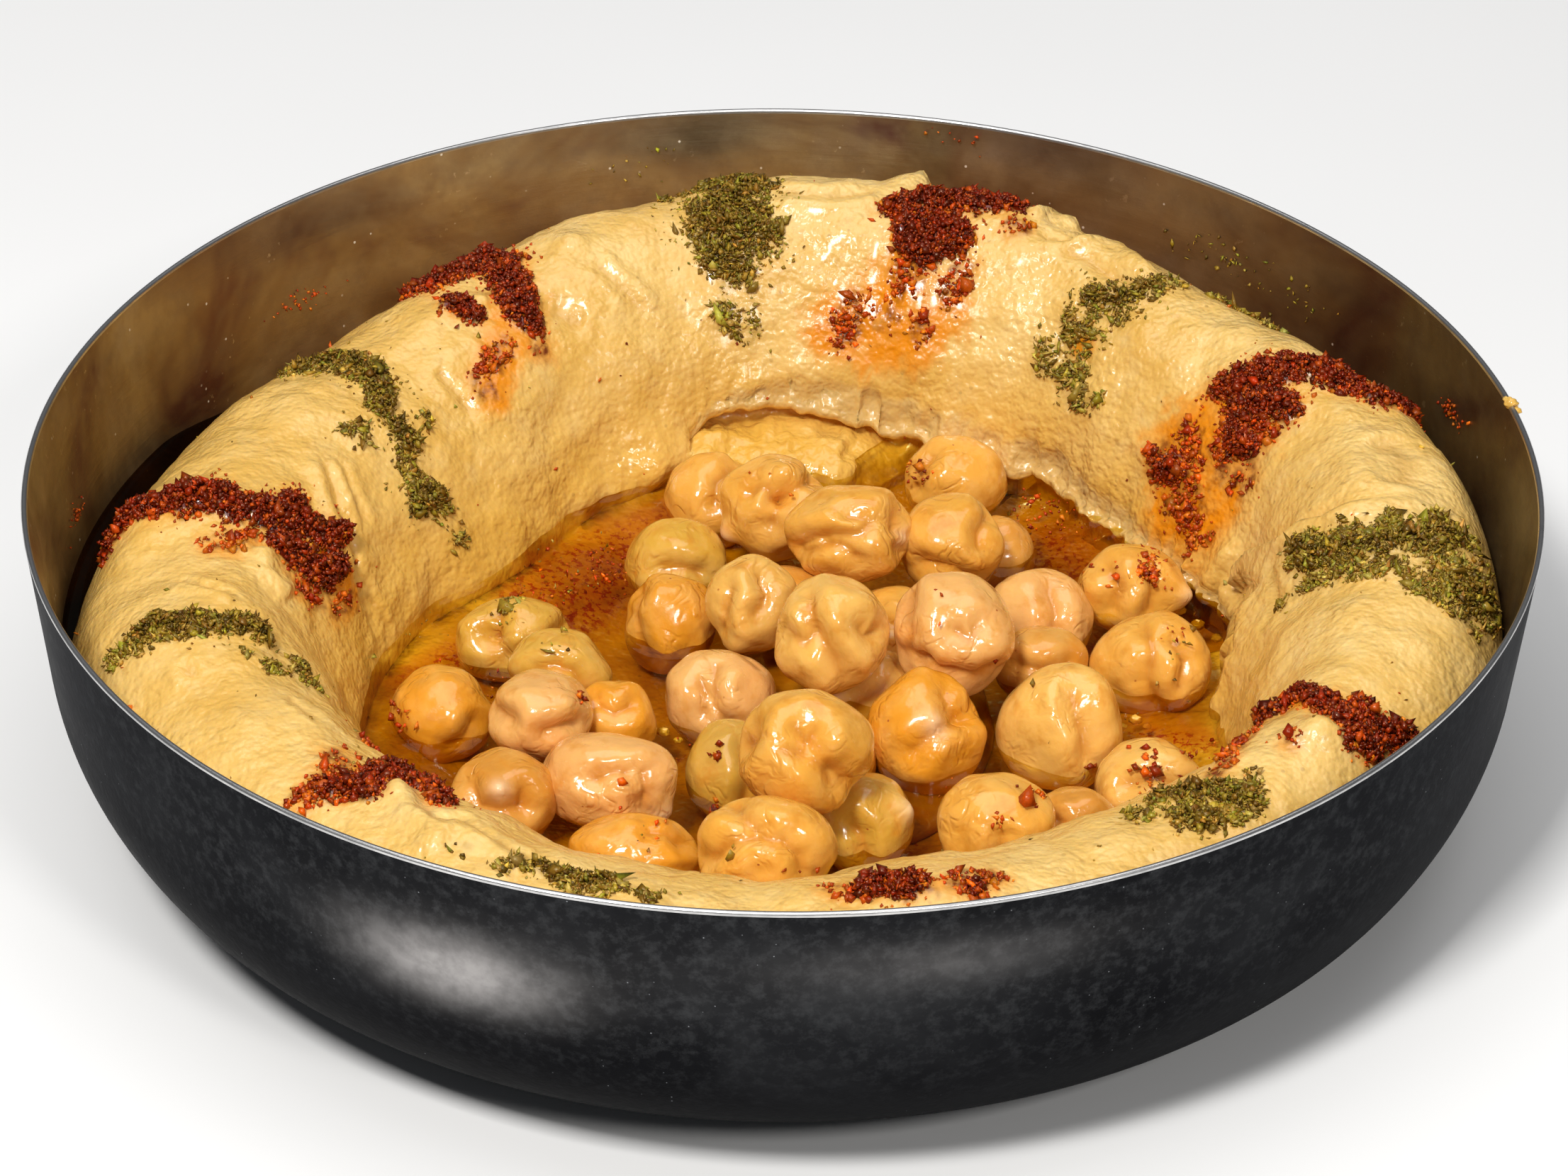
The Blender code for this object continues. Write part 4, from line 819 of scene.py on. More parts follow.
# name: x, y, z, half width, half height, half depth, tone, creases and beak in the disc of the shown side
CHICKPEAS = {
    1: (-1, 26.1, 15.2, 6.4, 5.9, 6.2, "plain", (-0.92, -0.6),
        ((-0.47, 0.29), (-0.29, 0.43), (-0.12, 0.39), (-0.03, 0.2), (0.15, 0.22)), ((0.15, 0.22), (0.5, 0.43), (0.85, 0.64)),
        ((0.15, 0.22), (0.06, -0.04), (-0.03, -0.33))),
    2: (7.2, 16.9, 17.6, 7.0, 5.5, 6.3, "plain", (0.95, -0.07),
        ((-0.95, -0.28), (-0.63, -0.09), (-0.3, 0.01), (-0.02, -0.01), (0.22, 0.01), (0.36, 0.25), (0.26, 0.33), (0.02, 0.38)),
        ((-0.75, -0.44), (-0.47, -0.28), (-0.18, -0.25), (0.02, -0.33), (0.18, -0.49)),
        ((0.82, 0.46), (0.82, 0.09), (0.94, -0.01), (0.86, -0.28))),
    3: (18.7, 18.9, 15, 5.7, 5.9, 6.0, "plain", None, ((0.74, 1.08), (0.84, 0.72), (0.69, 0.32), (0.64, -0.04)),
        ((-0.63, -0.4), (-0.02, -0.45), (0.39, -0.65))),
    4: (19.7, 38.8, 11, 6.1, 5.2, 6.0, "plain", None, ((-0.82, -0.14), (-0.73, 0.22), (-0.5, 0.57))),
    5: (-8.1, 34.6, 10.8, 5.6, 5.6, 5.8, "plain", None, ((0.06, -0.09), (0.11, 0.37), (0.46, 0.67))),
    6: (-11.8, 21.1, 10.6, 5.7, 5.3, 5.6, "olive", None, ((-0.29, -0.12), (0.11, -0.06), (0.5, -0.18))),
    7: (-12.3, 9, 10.7, 5.2, 5.5, 5.6, "deep", None, ((-0.66, 0.64), (-0.83, 0.2), (-0.66, -0.35), (-0.43, -0.68))),
    8: (-3.3, 5.3, 15.5, 5.0, 5.6, 5.4, "pale", None, ((-0.49, 0.29), (-0.6, -0.08), (-0.66, -0.46)),
        ((0.22, 0.56), (0.4, 0.29), (0.28, -0.03), (0.1, -0.14))),
    9: (5.3, -4.9, 18.7, 6.3, 6.4, 6.4, "pale", None,
        ((-0.36, 0.69), (-0.34, 0.34), (-0.32, 0.12), (-0.11, -0.18), (0.07, -0.44), (0.2, -0.7)),
        ((-0.74, -0.01), (-0.52, -0.14), (-0.32, 0.08)), ((0.56, 0.12), (0.65, -0.01), (0.83, 0.08))),
    10: (18.4, -3, 17.6, 6.8, 6.6, 6.6, "pink", None,
         ((-0.75, 0.69), (-0.83, 0.35), (-0.79, 0.01), (-0.87, -0.29), (-0.67, -0.55)),
         ((-0.63, -0.46), (-0.3, -0.63), (0.11, -0.67), (0.4, -0.72), (0.65, -0.55)),
         ((0.07, 0.09), (0.28, -0.08), (0.36, 0.13))),
    11: (28.9, 11, 10.6, 5.6, 5.2, 5.6, "pink", None, ((0.1, 0.7), (0.25, 0.2), (0.2, -0.4))),
    12: (28.3, 0.7, 11.1, 4.9, 4.6, 5.0, "brown", None, ((-0.6, 0.1), (0.0, -0.1), (0.6, 0.1))),
    13: (-6.5, -6.3, 11.1, 5.9, 5.4, 5.9, "pink", None, ((-0.37, 0.41), (-0.3, 0.09), (-0.32, -0.29)),
         ((-0.08, 0.68), (-0.13, 0.3), (-0.08, -0.13), (0.15, -0.45))),
    14: (2.7, -30.7, 21, 6.9, 6.6, 6.6, "plain", None, ((0.01, 0.3), (-0.16, 0.47)), ((0.01, 0.3), (0.1, 0.47)),
         ((0.14, -0.05), (0.35, -0.27), (0.44, -0.44)), ((0.31, -0.05), (0.56, -0.27), (0.69, -0.4)),
         ((-0.07, 0.08), (-0.28, 0.13)), ((-0.98, 0.13), (-0.79, 0.34), (-0.77, 0.52))),
    15: (15.5, -13.9, 11.8, 6.2, 6.5, 6.3, "deep", (0.14, 0.23),
         ((-0.26, -0.21), (-0.12, -0.08), (0.12, 0.1), (0.36, 0.24), (0.76, 0.37)), ((0.31, 0.77), (0.45, 0.59), (0.64, 0.42))),
    16: (29.4, -12.3, 12.0, 6.5, 6.6, 6.5, "pale", None, ((0.24, 0.59), (0.32, 0.23), (0.44, -0.03), (0.5, -0.43))),
    17: (-4.9, -19.5, 10.6, 5.2, 5.6, 5.6, "olive", None, ((0.2, 0.6), (0.35, 0.1), (0.3, -0.5))),
    18: (8.8, -28.6, 10.7, 5.4, 5.6, 5.8, "olive", (0.8, 0.3), ((-0.24, 0.05), (-0.07, -0.16), (-0.01, -0.59))),
    19: (-1.4, -42.2, 17.5, 7.0, 5.4, 6.3, "plain", None,
         ((-0.88, -0.16), (-0.54, 0.18), (-0.13, 0.32), (0.29, 0.24), (0.54, -0.04), (0.62, -0.38)),
         ((-0.46, 0.92), (-0.29, 0.64), (-0.17, 0.52))),
    20: (22.2, -33.2, 14.2, 6.3, 5.6, 6.1, "plain", None, ((0.08, -0.18), (0.11, -0.8))),
    31: (10.7, -2.3, 9.6, 4.8, 4.8, 4.8, "pale", (-0.86, -0.12)),
    33: (30.7, -28.3, 10.4, 4.8, 4.6, 4.8, "brown", None, ((-0.5, 0.3), (0.0, 0.1), (0.5, 0.3))),
    34: (24.3, 25.4, 9.5, 4.4, 4.6, 4.6, "brown", None),
    # low in the heap, between the others and mostly under them
    41: (13.0, 8.0, 10.2, 5.7, 5.4, 5.6, "plain", None, ((-0.4, 0.4), (0.1, 0.1), (0.3, -0.4))),
    42: (5.0, -17.0, 10.2, 5.3, 5.4, 5.4, "deep", None, ((0.4, 0.5), (0.0, 0.0), (-0.3, -0.5))),
    43: (4.0, 5.0, 10.2, 4.5, 4.3, 4.4, "pale", None, ((-0.3, 0.3), (0.3, -0.2))),
    44: (1.0, 13.0, 10.2, 4.8, 4.7, 4.8, "brown", None, ((-0.5, 0.0), (0.0, 0.2), (0.5, 0.0))),
    "chickpea_01": (39.1, -22.1, 11, 5.9, 5.6, 6.0, "pale", None, ((-0.5, 0.2), (0.0, 0.35), (0.5, 0.1))),
    "chickpea_02": (40.5, 0.9, 11.3, 6.5, 5.7, 6.2, "plain", None, ((-0.2, 0.8), (-0.05, 0.3), (-0.15, -0.3), (0.05, -0.8)),
                    ((0.3, 0.5), (0.55, 0.1), (0.45, -0.4))),
    "chickpea_03": (39.2, 16.7, 10.8, 6.2, 5.0, 5.8, "plain", (0.9, -0.1), ((-0.5, 0.5), (-0.3, 0.1), (-0.4, -0.4)),
                    ((0.2, 0.4), (0.35, 0.0), (0.3, -0.5))),
    "chickpea_04": (-17.7, -24.8, 13.0, 7.0, 5.2, 6.0, "pink", (0.8, -0.62),
                    ((-0.23, 0.14), (-0.03, 0.25), (0.15, 0.35), (0.28, 0.3)), ((0.56, 0.3), (0.63, -0.11), (0.59, -0.52))),
    "chickpea_05": (-28.8, -26.5, 11.8, 5.6, 5.3, 5.7, "brown", (0.0, 0.24),
                    ((-0.58, 0.33), (-0.44, -0.05), (0.05, -0.14), (0.4, -0.05)), ((0.4, 0.24), (0.49, -0.1))),
    "chickpea_06": (-36.4, -9.4, 10.7, 5.6, 5.3, 5.8, "deep", None, ((0.67, -0.14), (0.53, -0.43), (0.22, -0.62))),
    "chickpea_07": (-25.3, -16.4, 15.6, 5.5, 4.9, 5.4, "pink", None, ((-0.84, 0.1), (-0.58, -0.06)),
                    ((0.14, -0.31), (0.4, -0.21), (0.8, -0.11))),
    "chickpea_08": (-24, -3.9, 12.9, 5.5, 4.8, 5.4, "olive", None,
                    ((-0.83, -0.28), (-0.48, 0.05), (-0.03, 0.17), (0.36, 0.0), (0.58, -0.39))),
    "chickpea_09": (-29.4, 5.1, 10.8, 6.3, 4.9, 5.8, "olive", None, ((-0.34, 0.11), (-0.26, -0.11), (-0.07, -0.33)),
                    ((-0.22, 0.61), (-0.26, 0.33), (-0.34, 0.11)), ((0.55, -0.11), (0.78, 0.11), (0.93, 0.28))),
    "chickpea_10": (-14.8, -35.5, 11.4, 6.7, 4.7, 5.8, "deep", None, ((0.29, 0.67), (0.58, 0.61), (0.8, 0.37))),
    "chickpea_11": (-17.6, -11.5, 11.8, 4.4, 4.4, 4.6, "deep", None, ((-0.4, 0.4), (0.0, 0.2), (0.4, 0.4))),
}


def cube_sphere(n):
    """Unit directions and quads of a sphere with n quads along each edge of its cube."""
    t = np.tan(np.linspace(-1, 1, n + 1) * math.pi / 4)
    u, v = np.meshgrid(t, t, indexing="ij")
    points, quads = [], []
    for axis, sign in ((0, 1), (0, -1), (1, 1), (1, -1), (2, 1), (2, -1)):
        side = np.empty((n + 1, n + 1, 3))
        side[..., axis] = sign
        side[..., (axis + 1) % 3], side[..., (axis + 2) % 3] = u, v
        i, j = np.meshgrid(np.arange(n), np.arange(n), indexing="ij")
        a = i * (n + 1) + j
        q = np.stack([a, a + n + 1, a + n + 2, a + 1], -1).reshape(-1, 4)
        quads.append((q if sign > 0 else q[:, ::-1]) + len(points) * (n + 1) ** 2)
        points.append(side.reshape(-1, 3))
    points, quads = np.concatenate(points), np.concatenate(quads)
    _, first, index = np.unique(np.round(points, 6), axis=0, return_index=True, return_inverse=True)
    points = points[first] / np.linalg.norm(points[first], axis=1)[:, None]
    return points, index.reshape(-1)[quads]


def chickpea(key, entry, n):
    """One cooked chickpea: points, quads and its shades."""
    x, y, z, half_w, half_h, half_d, tone, beak = entry[:8]
    creases = entry[8:]
    seed = 100 + 13 * (key if isinstance(key, int) else 40 + int(key[-2:]))
    d, quads = cube_sphere(n)
    p, q, t = d @ VIEW_RIGHT, d @ VIEW_UP, d @ VIEW_NEAR
    size = 1 + 0.105 * noise(d + seed, 1.0, seed) + 0.055 * noise(d + seed, 0.55, seed + 1) + 0.006 * noise(d, 0.22, seed + 2)
    crease_shade, pale = np.zeros(len(d)), np.zeros(len(d))
    disc = np.stack([p, q], 1)
    rng = np.random.default_rng(seed)
    for _ in range(7):        # blunt knobs and flats
        way = rng.normal(size=3)
        way /= np.linalg.norm(way)
        size = size + rng.uniform(-0.10, 0.085) * np.exp(-(1 - d @ way) / rng.uniform(0.09, 0.24))

    def press(line, side, depth, width, blur=0.0):
        nonlocal size, crease_shade
        far = to_line(np.concatenate([disc, np.zeros((len(disc), 1))], 1), [(a, b, 0) for a, b in line])[0]
        bent = np.sqrt((far + 0.035 * noise(d, 0.3, seed + 5)) ** 2 + 0.014 ** 2)
        seen = smooth((side * t + 0.05) / 0.25)
        size = size - seen * depth * (0.60 * np.exp(-bent / width) + 0.40 * np.exp(-(bent / (2.6 * width)) ** 2))
        size = size + seen * 0.28 * depth * np.exp(-((bent - 3.6 * width) / (2.0 * width)) ** 2)
        crease_shade = np.maximum(crease_shade, seen * 0.9 * np.exp(-(bent / (0.8 * width)) ** 2))

    for line in creases:
        press(line, 1, 0.20, 0.105)
    # the side that faces away has a furrow and a fold of its own
    press(((-0.5, 0.5), (-0.1, 0.1), (0.1, -0.5)), -1, 0.10, 0.09)
    press(((0.3, 0.6), (0.5, 0.1), (0.4, -0.3)), -1, 0.06, 0.07)
    size = size - 0.030 * ridge(d + 3, 0.62, seed + 7) * smooth(0.35 + 1.5 * noise(d, 0.9, seed + 8))
    size = size - 0.012 * ridge(d + 5, 0.30, seed + 9) * smooth(0.2 + 1.5 * noise(d, 0.7, seed + 10))
    if beak:
        tip = beak[0] * VIEW_RIGHT + beak[1] * VIEW_UP + math.sqrt(max(0.02, 1 - beak[0] ** 2 - beak[1] ** 2)) * VIEW_NEAR
        tip = tip / np.linalg.norm(tip)
        far = np.arccos(np.clip(d @ tip, -1, 1))
        inner = math.hypot(*beak) < 0.5
        size = size + (0.10 if inner else 0.17) * np.exp(-(far / (0.16 if inner else 0.24)) ** 2)
        pale = np.maximum(pale, 0.8 * np.exp(-(far / 0.2) ** 2))
    local = (p * half_w)[:, None] * VIEW_RIGHT + (q * half_h)[:, None] * VIEW_UP + (t * half_d)[:, None] * VIEW_NEAR
    points = local * size[:, None] + (x, y, z)
    shade = 1 + 0.10 * noise(np.array([[seed * 1.7, 3, 1]]), 2.0, 3)[0]
    tint = np.tile(np.array(TONES[tone]) * shade, (len(d), 1))
    depth = 0.5 * np.clip(OIL + 0.3 - points[:, 2], 0, 6)
    return points, quads, {"tint": tint, "crease_shade": crease_shade, "pale": pale, "depth": depth}


def joined(parts):
    points, faces, shades, start = [], [], {}, 0
    for p, f, s in parts:
        points.append(p)
        faces.append(f + start)
        start += len(p)
        for key, value in s.items():
            shades.setdefault(key, []).append(value)
    return np.concatenate(points), np.concatenate(faces), {k: np.concatenate(v) for k, v in shades.items()}


# ------------------------------------------------------------------ oil
def settled_height(points, circles, level, rise=0.75, fall=0.9):
    """Height of a liquid that climbs a little up whatever stands in it. circles: x, y, radius at the level."""
    z = np.full(len(points), level)
    climb = np.zeros(len(points))
    for x, y, radius in circles:
        far = np.hypot(points[:, 0] - x, points[:, 1] - y) - radius
        climb = np.maximum(climb, np.where(far > 0, np.exp(-np.maximum(far, 0) / fall), 1.0))
    return z + rise * climb


def pool(roll, peas):
    """The oil in the middle: a closed body whose sides reach just into the hummus."""
    columns, rows = 360, 96
    az = np.arange(columns) * 360 / columns
    edge = roll.radius_at(az, OIL) + 1.1
    a = np.radians(az)
    share = 1 - (1 - np.arange(1, rows + 1) / rows) ** 1.15
    r = edge[:, None] * share[None, :]
    flat = np.stack([r * np.cos(a)[:, None], r * np.sin(a)[:, None], 0 * r], -1).reshape(-1, 3)
    circles = []
    for entry in peas.values():
        x, y, z, half_w, half_h, half_d = entry[:6]
        mean = (half_w + half_h + half_d) / 3
        if abs(OIL - z) < mean:
            circles.append((x, y, math.sqrt(mean ** 2 - (OIL - z) ** 2)))
    z = settled_height(flat, circles, OIL)
    wall = np.exp(-np.maximum((edge - 1.1)[:, None] - r, 0) / 1.0).ravel()
    z = np.maximum(z, OIL + 0.7 * wall) + 0.05 * noise(flat, 9, 71)
    top = flat + np.stack([0 * z, 0 * z, z], 1)
    low = np.stack([edge * np.cos(a), edge * np.sin(a), 0 * a + 4.2], 1)
    points = np.concatenate([top, low, [(0, 0, OIL), (0, 0, 4.2)]])
    centre, foot = len(points) - 2, len(points) - 1
    quads = grid_faces(columns, rows)[:, ::-1]
    i = np.arange(columns)
    n = (i + 1) % columns
    outer, base = i * rows + rows - 1, len(top)
    side = np.stack([outer, base + i, base + n, n * rows + rows - 1], 1)
    caps = np.concatenate([np.stack([np.full(columns, centre), i * rows, n * rows], 1),
                           np.stack([base + n, base + i, np.full(columns, foot)], 1)])
    red = pile_field(points * (1, 1, 0), SPICED, lambda x, y: 0.0, 1.0, 81)
    return points, [np.concatenate([quads, side]), caps], {"red": 0.40 * smooth(red * 1.5)}


def crescent():
    """The oil caught between the roll and the wall on the left."""
    columns, rows = 150, 10
    az = np.linspace(181 - 37, 181 + 37, columns)
    a = np.radians(az)
    outer = wall_radius(GAP_OIL) + 0.3
    width = 7.5 * np.clip(1 - ((az - 181) / 38) ** 2, 0, 1) ** 1.1 + 0.35
    t = np.linspace(0, 1, rows)
    r = outer - width[:, None] * (1 - t[None, :])
    z = GAP_OIL + 0.5 * np.exp(-(outer - 0.3 - r) / 0.8) - 1.8 * smooth((np.abs(az - 181) - 24) / 13)[:, None]
    top = np.stack([r * np.cos(a)[:, None], r * np.sin(a)[:, None], z], -1).reshape(-1, 3)
    low_r = wall_radius(GAP_OIL - 4.5) + 0.3 - 0.5 * width[:, None] * (1 - t[None, :])
    low = np.stack([low_r * np.cos(a)[:, None], low_r * np.sin(a)[:, None], 0 * r + GAP_OIL - 4.5], -1).reshape(-1, 3)
    quads = [grid_faces(columns, rows, wrap=False)[:, ::-1], grid_faces(columns, rows, wrap=False) + len(top)]
    k = np.arange(columns - 1) * rows
    for at, turn in ((0, 1), (rows - 1, -1)):
        side = np.stack([k + at, k + rows + at, len(top) + k + rows + at, len(top) + k + at], 1)
        quads.append(side[:, ::turn])
    j = np.arange(rows - 1)
    for at, turn in ((0, -1), ((columns - 1) * rows, 1)):
        side = np.stack([at + j, at + j + 1, len(top) + at + j + 1, len(top) + at + j], 1)
        quads.append(side[:, ::turn])
    points = np.concatenate([top, low])
    return points, np.concatenate(quads), {"red": np.zeros(len(points))}


# ------------------------------------------------------------------ spices
CHIP = np.array([(1, 0, 0), (-1, 0, 0), (0, 1, 0), (0, -1, 0), (0, 0, 1), (0, 0, -1)], float)
CHIP_FACES = np.array([(0, 2, 4), (2, 1, 4), (1, 3, 4), (3, 0, 4), (2, 0, 5), (1, 2, 5), (3, 1, 5), (0, 3, 5)])


def turned(rng, n):
    """n random rotations."""
    q = rng.normal(size=(n, 4))
    q /= np.linalg.norm(q, axis=1)[:, None]
    w, x, y, z = q.T
    return np.stack([1 - 2 * (y * y + z * z), 2 * (x * y - z * w), 2 * (x * z + y * w),
                     2 * (x * y + z * w), 1 - 2 * (x * x + z * z), 2 * (y * z - x * w),
                     2 * (x * z - y * w), 2 * (y * z + x * w), 1 - 2 * (x * x + y * y)], 1).reshape(-1, 3, 3)


def chips(rng, places, sizes, shape, tints):
    """Irregular eight-sided grains at these places."""
    n = len(places)
    stretch = np.exp(rng.normal(0, 0.28, (n, 1, 3))) * np.asarray(shape)
    corners = CHIP[None] * stretch * (1 + rng.uniform(-0.45, 0.35, (n, 6, 1))) + rng.uniform(-0.22, 0.22, (n, 6, 3))
    corners = np.einsum("nij,nkj->nki", turned(rng, n), corners) * sizes[:, None, None] + places[:, None, :]
    faces = CHIP_FACES[None] + (np.arange(n) * 6)[:, None, None]
    return corners.reshape(-1, 3), faces.reshape(-1, 3), {"tint": np.repeat(tints, 6, axis=0)}


def places_on(rng, points, quads, normal, weight, n):
    """n places spread over a mesh in proportion to its vertices' weight, with the normal and weight at each."""
    area = np.linalg.norm(np.cross(points[quads[:, 1]] - points[quads[:, 0]], points[quads[:, 3]] - points[quads[:, 0]]), axis=1)
    share = area * weight[quads].mean(1)
    share = np.where(share > 0, share, 0)
    pick = rng.choice(len(quads), n, p=share / share.sum())
    u, v = rng.random((2, n, 1))
    a, b, c, d = (points[quads[pick, k]] for k in range(4))
    at = a * (1 - u) * (1 - v) + b * u * (1 - v) + c * u * v + d * (1 - u) * v
    return at, normal[quads[pick, 0]], weight[quads[pick]].mean(1)


def tints_of(rng, n, colours, spread=0.28):
    colours = np.array(colours)
    picked = colours[rng.integers(len(colours), size=n)]
    return picked * np.exp(rng.normal(0, spread, (n, 1))) * np.exp(rng.normal(0, 0.10, (n, 3)))


RED_TINTS = (((0.12, 0.007, 0.0005), (0.19, 0.013, 0.001), (0.30, 0.024, 0.001), (0.18, 0.010, 0.001), (0.46, 0.060, 0.003)),
             ((0.28, 0.020, 0.001), (0.48, 0.060, 0.003), (0.62, 0.10, 0.004), (0.74, 0.18, 0.008), (0.52, 0.055, 0.002)))
GREEN_TINTS = (((0.19, 0.098, 0.007), (0.26, 0.145, 0.012), (0.13, 0.062, 0.004), (0.33, 0.200, 0.020), (0.28, 0.200, 0.016)),
               ((0.27, 0.150, 0.012), (0.38, 0.240, 0.024), (0.30, 0.230, 0.016), (0.50, 0.34, 0.06), (0.17, 0.085, 0.006)))
# flakes on the chickpeas: chickpea, count, place in the disc of the shown side, spread
FLAKES = (("chickpea_03", 90, 0.05, 0.62, 0.20), ("chickpea_03", 60, 0.25, 0.45, 0.16), ("chickpea_03", 12, -0.6, 0.4, 0.2),
          ("chickpea_01", 26, -0.15, 0.45, 0.16), ("chickpea_01", 22, 0.1, 0.05, 0.16), ("chickpea_01", 8, 0.4, 0.5, 0.2),
          (20, 9, 0.05, 0.15, 0.08), (20, 14, 0.62, 0.62, 0.12), (17, 9, -0.3, 0.35, 0.06), (17, 9, -0.35, -0.6, 0.06),
          (14, 5, 0.55, 0.3, 0.04), (16, 3, 0.5, -0.6, 0.05), ("chickpea_02", 6, 0.2, 0.6, 0.15), (4, 14, -0.75, 0.25, 0.15),
          ("chickpea_06", 12, -0.75, 0.0, 0.2), ("chickpea_07", 7, 0.8, 0.4, 0.1), (10, 4, -0.1, 0.1, 0.3), (1, 3, 0.2, 0.3, 0.3),
          ("chickpea_04", 3, 0.1, -0.2, 0.3), ("chickpea_10", 3, 0.3, 0.2, 0.3), (19, 3, 0.6, -0.3, 0.2))
HERBS = (("chickpea_09", 46, 0.0, 0.72, 0.17), ("chickpea_08", 8, 0.0, 0.7, 0.25), ("chickpea_02", 10, 0.4, 0.2, 0.3),
         (16, 3, 0.1, 0.4, 0.3), (19, 3, -0.2, 0.1, 0.3), ("chickpea_10", 4, 0.1, 0.5, 0.2))


def on_peas(rng, table, peas):
    places, normals = [], []
    for key, count, p, q, wide in table:
        x, y, z, half_w, half_h, half_d = peas[key][:6]
        spread = rng.normal(0, wide, (count, 2)) + (p, q)
        size = np.linalg.norm(spread, axis=1)
        spread *= np.minimum(1, 0.93 / np.maximum(size, 1e-6))[:, None]
        t = np.sqrt(1 - (spread ** 2).sum(1))
        d = spread[:, :1] * VIEW_RIGHT + spread[:, 1:] * VIEW_UP + t[:, None] * VIEW_NEAR
        scale = spread[:, :1] * half_w * VIEW_RIGHT + spread[:, 1:] * half_h * VIEW_UP + t[:, None] * half_d * VIEW_NEAR
        places.append(scale * 1.005 + (x, y, z))
        normals.append(d)
    return np.concatenate(places), np.concatenate(normals)


def spice(roll, peas, seed, field, trail, piles, counts, sizes, shape, tints, on_chickpeas, extra):
    """Grains heaped in the piles, thin on the trails, and loose round both. tints: those deep in a pile, those at its edge."""
    rng = np.random.default_rng(seed)
    shown = (roll.row >= N_FLOOR) & (roll.row < N_FLOOR + N_FACE + N_BACK)
    clump = smooth(0.55 + 1.5 * noise(roll.points, 1.5, seed + 3)) * smooth(0.7 + 1.3 * noise(roll.points, 4, seed + 4))
    heaped, trailed, loose = counts
    parts = []
    weight = np.where(shown, smooth(field * 2.4) * (0.30 + 0.70 * clump), 0)
    places, normal, _ = places_on(rng, roll.points, roll.quads, roll.normal, weight, heaped)
    deep = weight_at(roll, field, places)
    lift = rng.random(heaped) ** 1.3 * (0.10 + 0.95 * deep)
    size = np.exp(rng.normal(math.log(sizes[0]), 0.30, heaped))
    tint = np.where((rng.random(heaped) < 0.42 + 1.3 * deep)[:, None], tints_of(rng, heaped, tints[0]), tints_of(rng, heaped, tints[1]))
    parts.append(chips(rng, places + normal * (lift + 0.04)[:, None], size, shape, tint))
    weight = np.where(shown, smooth(trail * 1.5) * clump ** 1.5, 0)
    places, normal, _ = places_on(rng, roll.points, roll.quads, roll.normal, weight, trailed)
    size = np.exp(rng.normal(math.log(0.85 * sizes[0]), 0.42, trailed))
    parts.append(chips(rng, places + normal * (rng.random(trailed) * 0.25 + 0.03)[:, None], size, shape, tints_of(rng, trailed, tints[1])))
    wide = pile_field(roll.points, piles, roll.height, 2.2, seed + 1)
    weight = np.where(shown, wide ** 1.6 * (0.25 + clump) + 0.0007, 0)
    places, normal, _ = places_on(rng, roll.points, roll.quads, roll.normal, weight, loose)
    size = np.exp(rng.normal(math.log(sizes[1]), 0.40, loose))
    parts.append(chips(rng, places + normal * 0.07, size, shape, tints_of(rng, loose, tints[1])))
    places, normal = on_peas(rng, on_chickpeas, peas)
    size = np.exp(rng.normal(math.log(sizes[0]), 0.40, len(places)))
    parts.append(chips(rng, places + normal * 0.06, size, shape, tints_of(rng, len(places), tints[1])))
    places = []
    for x, y, z, radius, n in extra:
        places.append(rng.normal(0, radius, (n, 3)) * (1, 1, 0.12 if z < 12 else 0.3) + (x, y, z))
    places = np.concatenate(places)
    radius = np.hypot(places[:, 0], places[:, 1])
    outer = radius > 70
    most = wall_radius(places[:, 2]) - 0.12
    places[outer, :2] *= (most / radius)[outer, None]
    size = np.exp(rng.normal(math.log(sizes[1]), 0.35, len(places)))
    parts.append(chips(rng, places, size, shape, tints_of(rng, len(places), tints[1])))
    return joined(parts)


def weight_at(roll, field, places):
    """The field at the mesh point nearest to each place."""
    tree = KDTree(len(roll.points))
    for i, point in enumerate(roll.points):
        tree.insert(point, i)
    tree.balance()
    return field[[tree.find(place)[1] for place in places]]


# loose spice elsewhere: x, y, z, spread, count (on the oil, and stuck to the wall)
RED_LOOSE = ((-19, 21, 10.1, 3.0, 130), (-27, 14, 10.1, 2.5, 50), (31, 33, 10.1, 3.0, 90), (-34, 0, 10.1, 2.0, 30),
             (0, 38, 10.2, 2.5, 50), (45, -14, 10.1, 2.0, 20), (20, 74, 36, 2.0, 7), (16, 75, 36.5, 1.5, 5), (-30, -5, 10.1, 2.5, 25),
             (-57, 52, 26, 2.5, 40), (-74, 8, 24, 2.5, 26), (72, 24, 30, 1.6, 40), (-8, -14, 10.1, 3.0, 22), (20, -22, 10.1, 3, 16))
GREEN_LOOSE = ((-24, 20, 10.1, 5.0, 40), (-4, 38, 10.3, 3.0, 30), (33, -6, 10.2, 3.0, 36), (36, 4, 10.2, 2.0, 22),
               (-16, 74, 33, 3.0, 12), (50, 58, 30, 4.0, 40), (58, 50, 29, 4.0, 30), (-40, 8, 10.2, 3.0, 16), (-20, 74, 31, 3.0, 8))


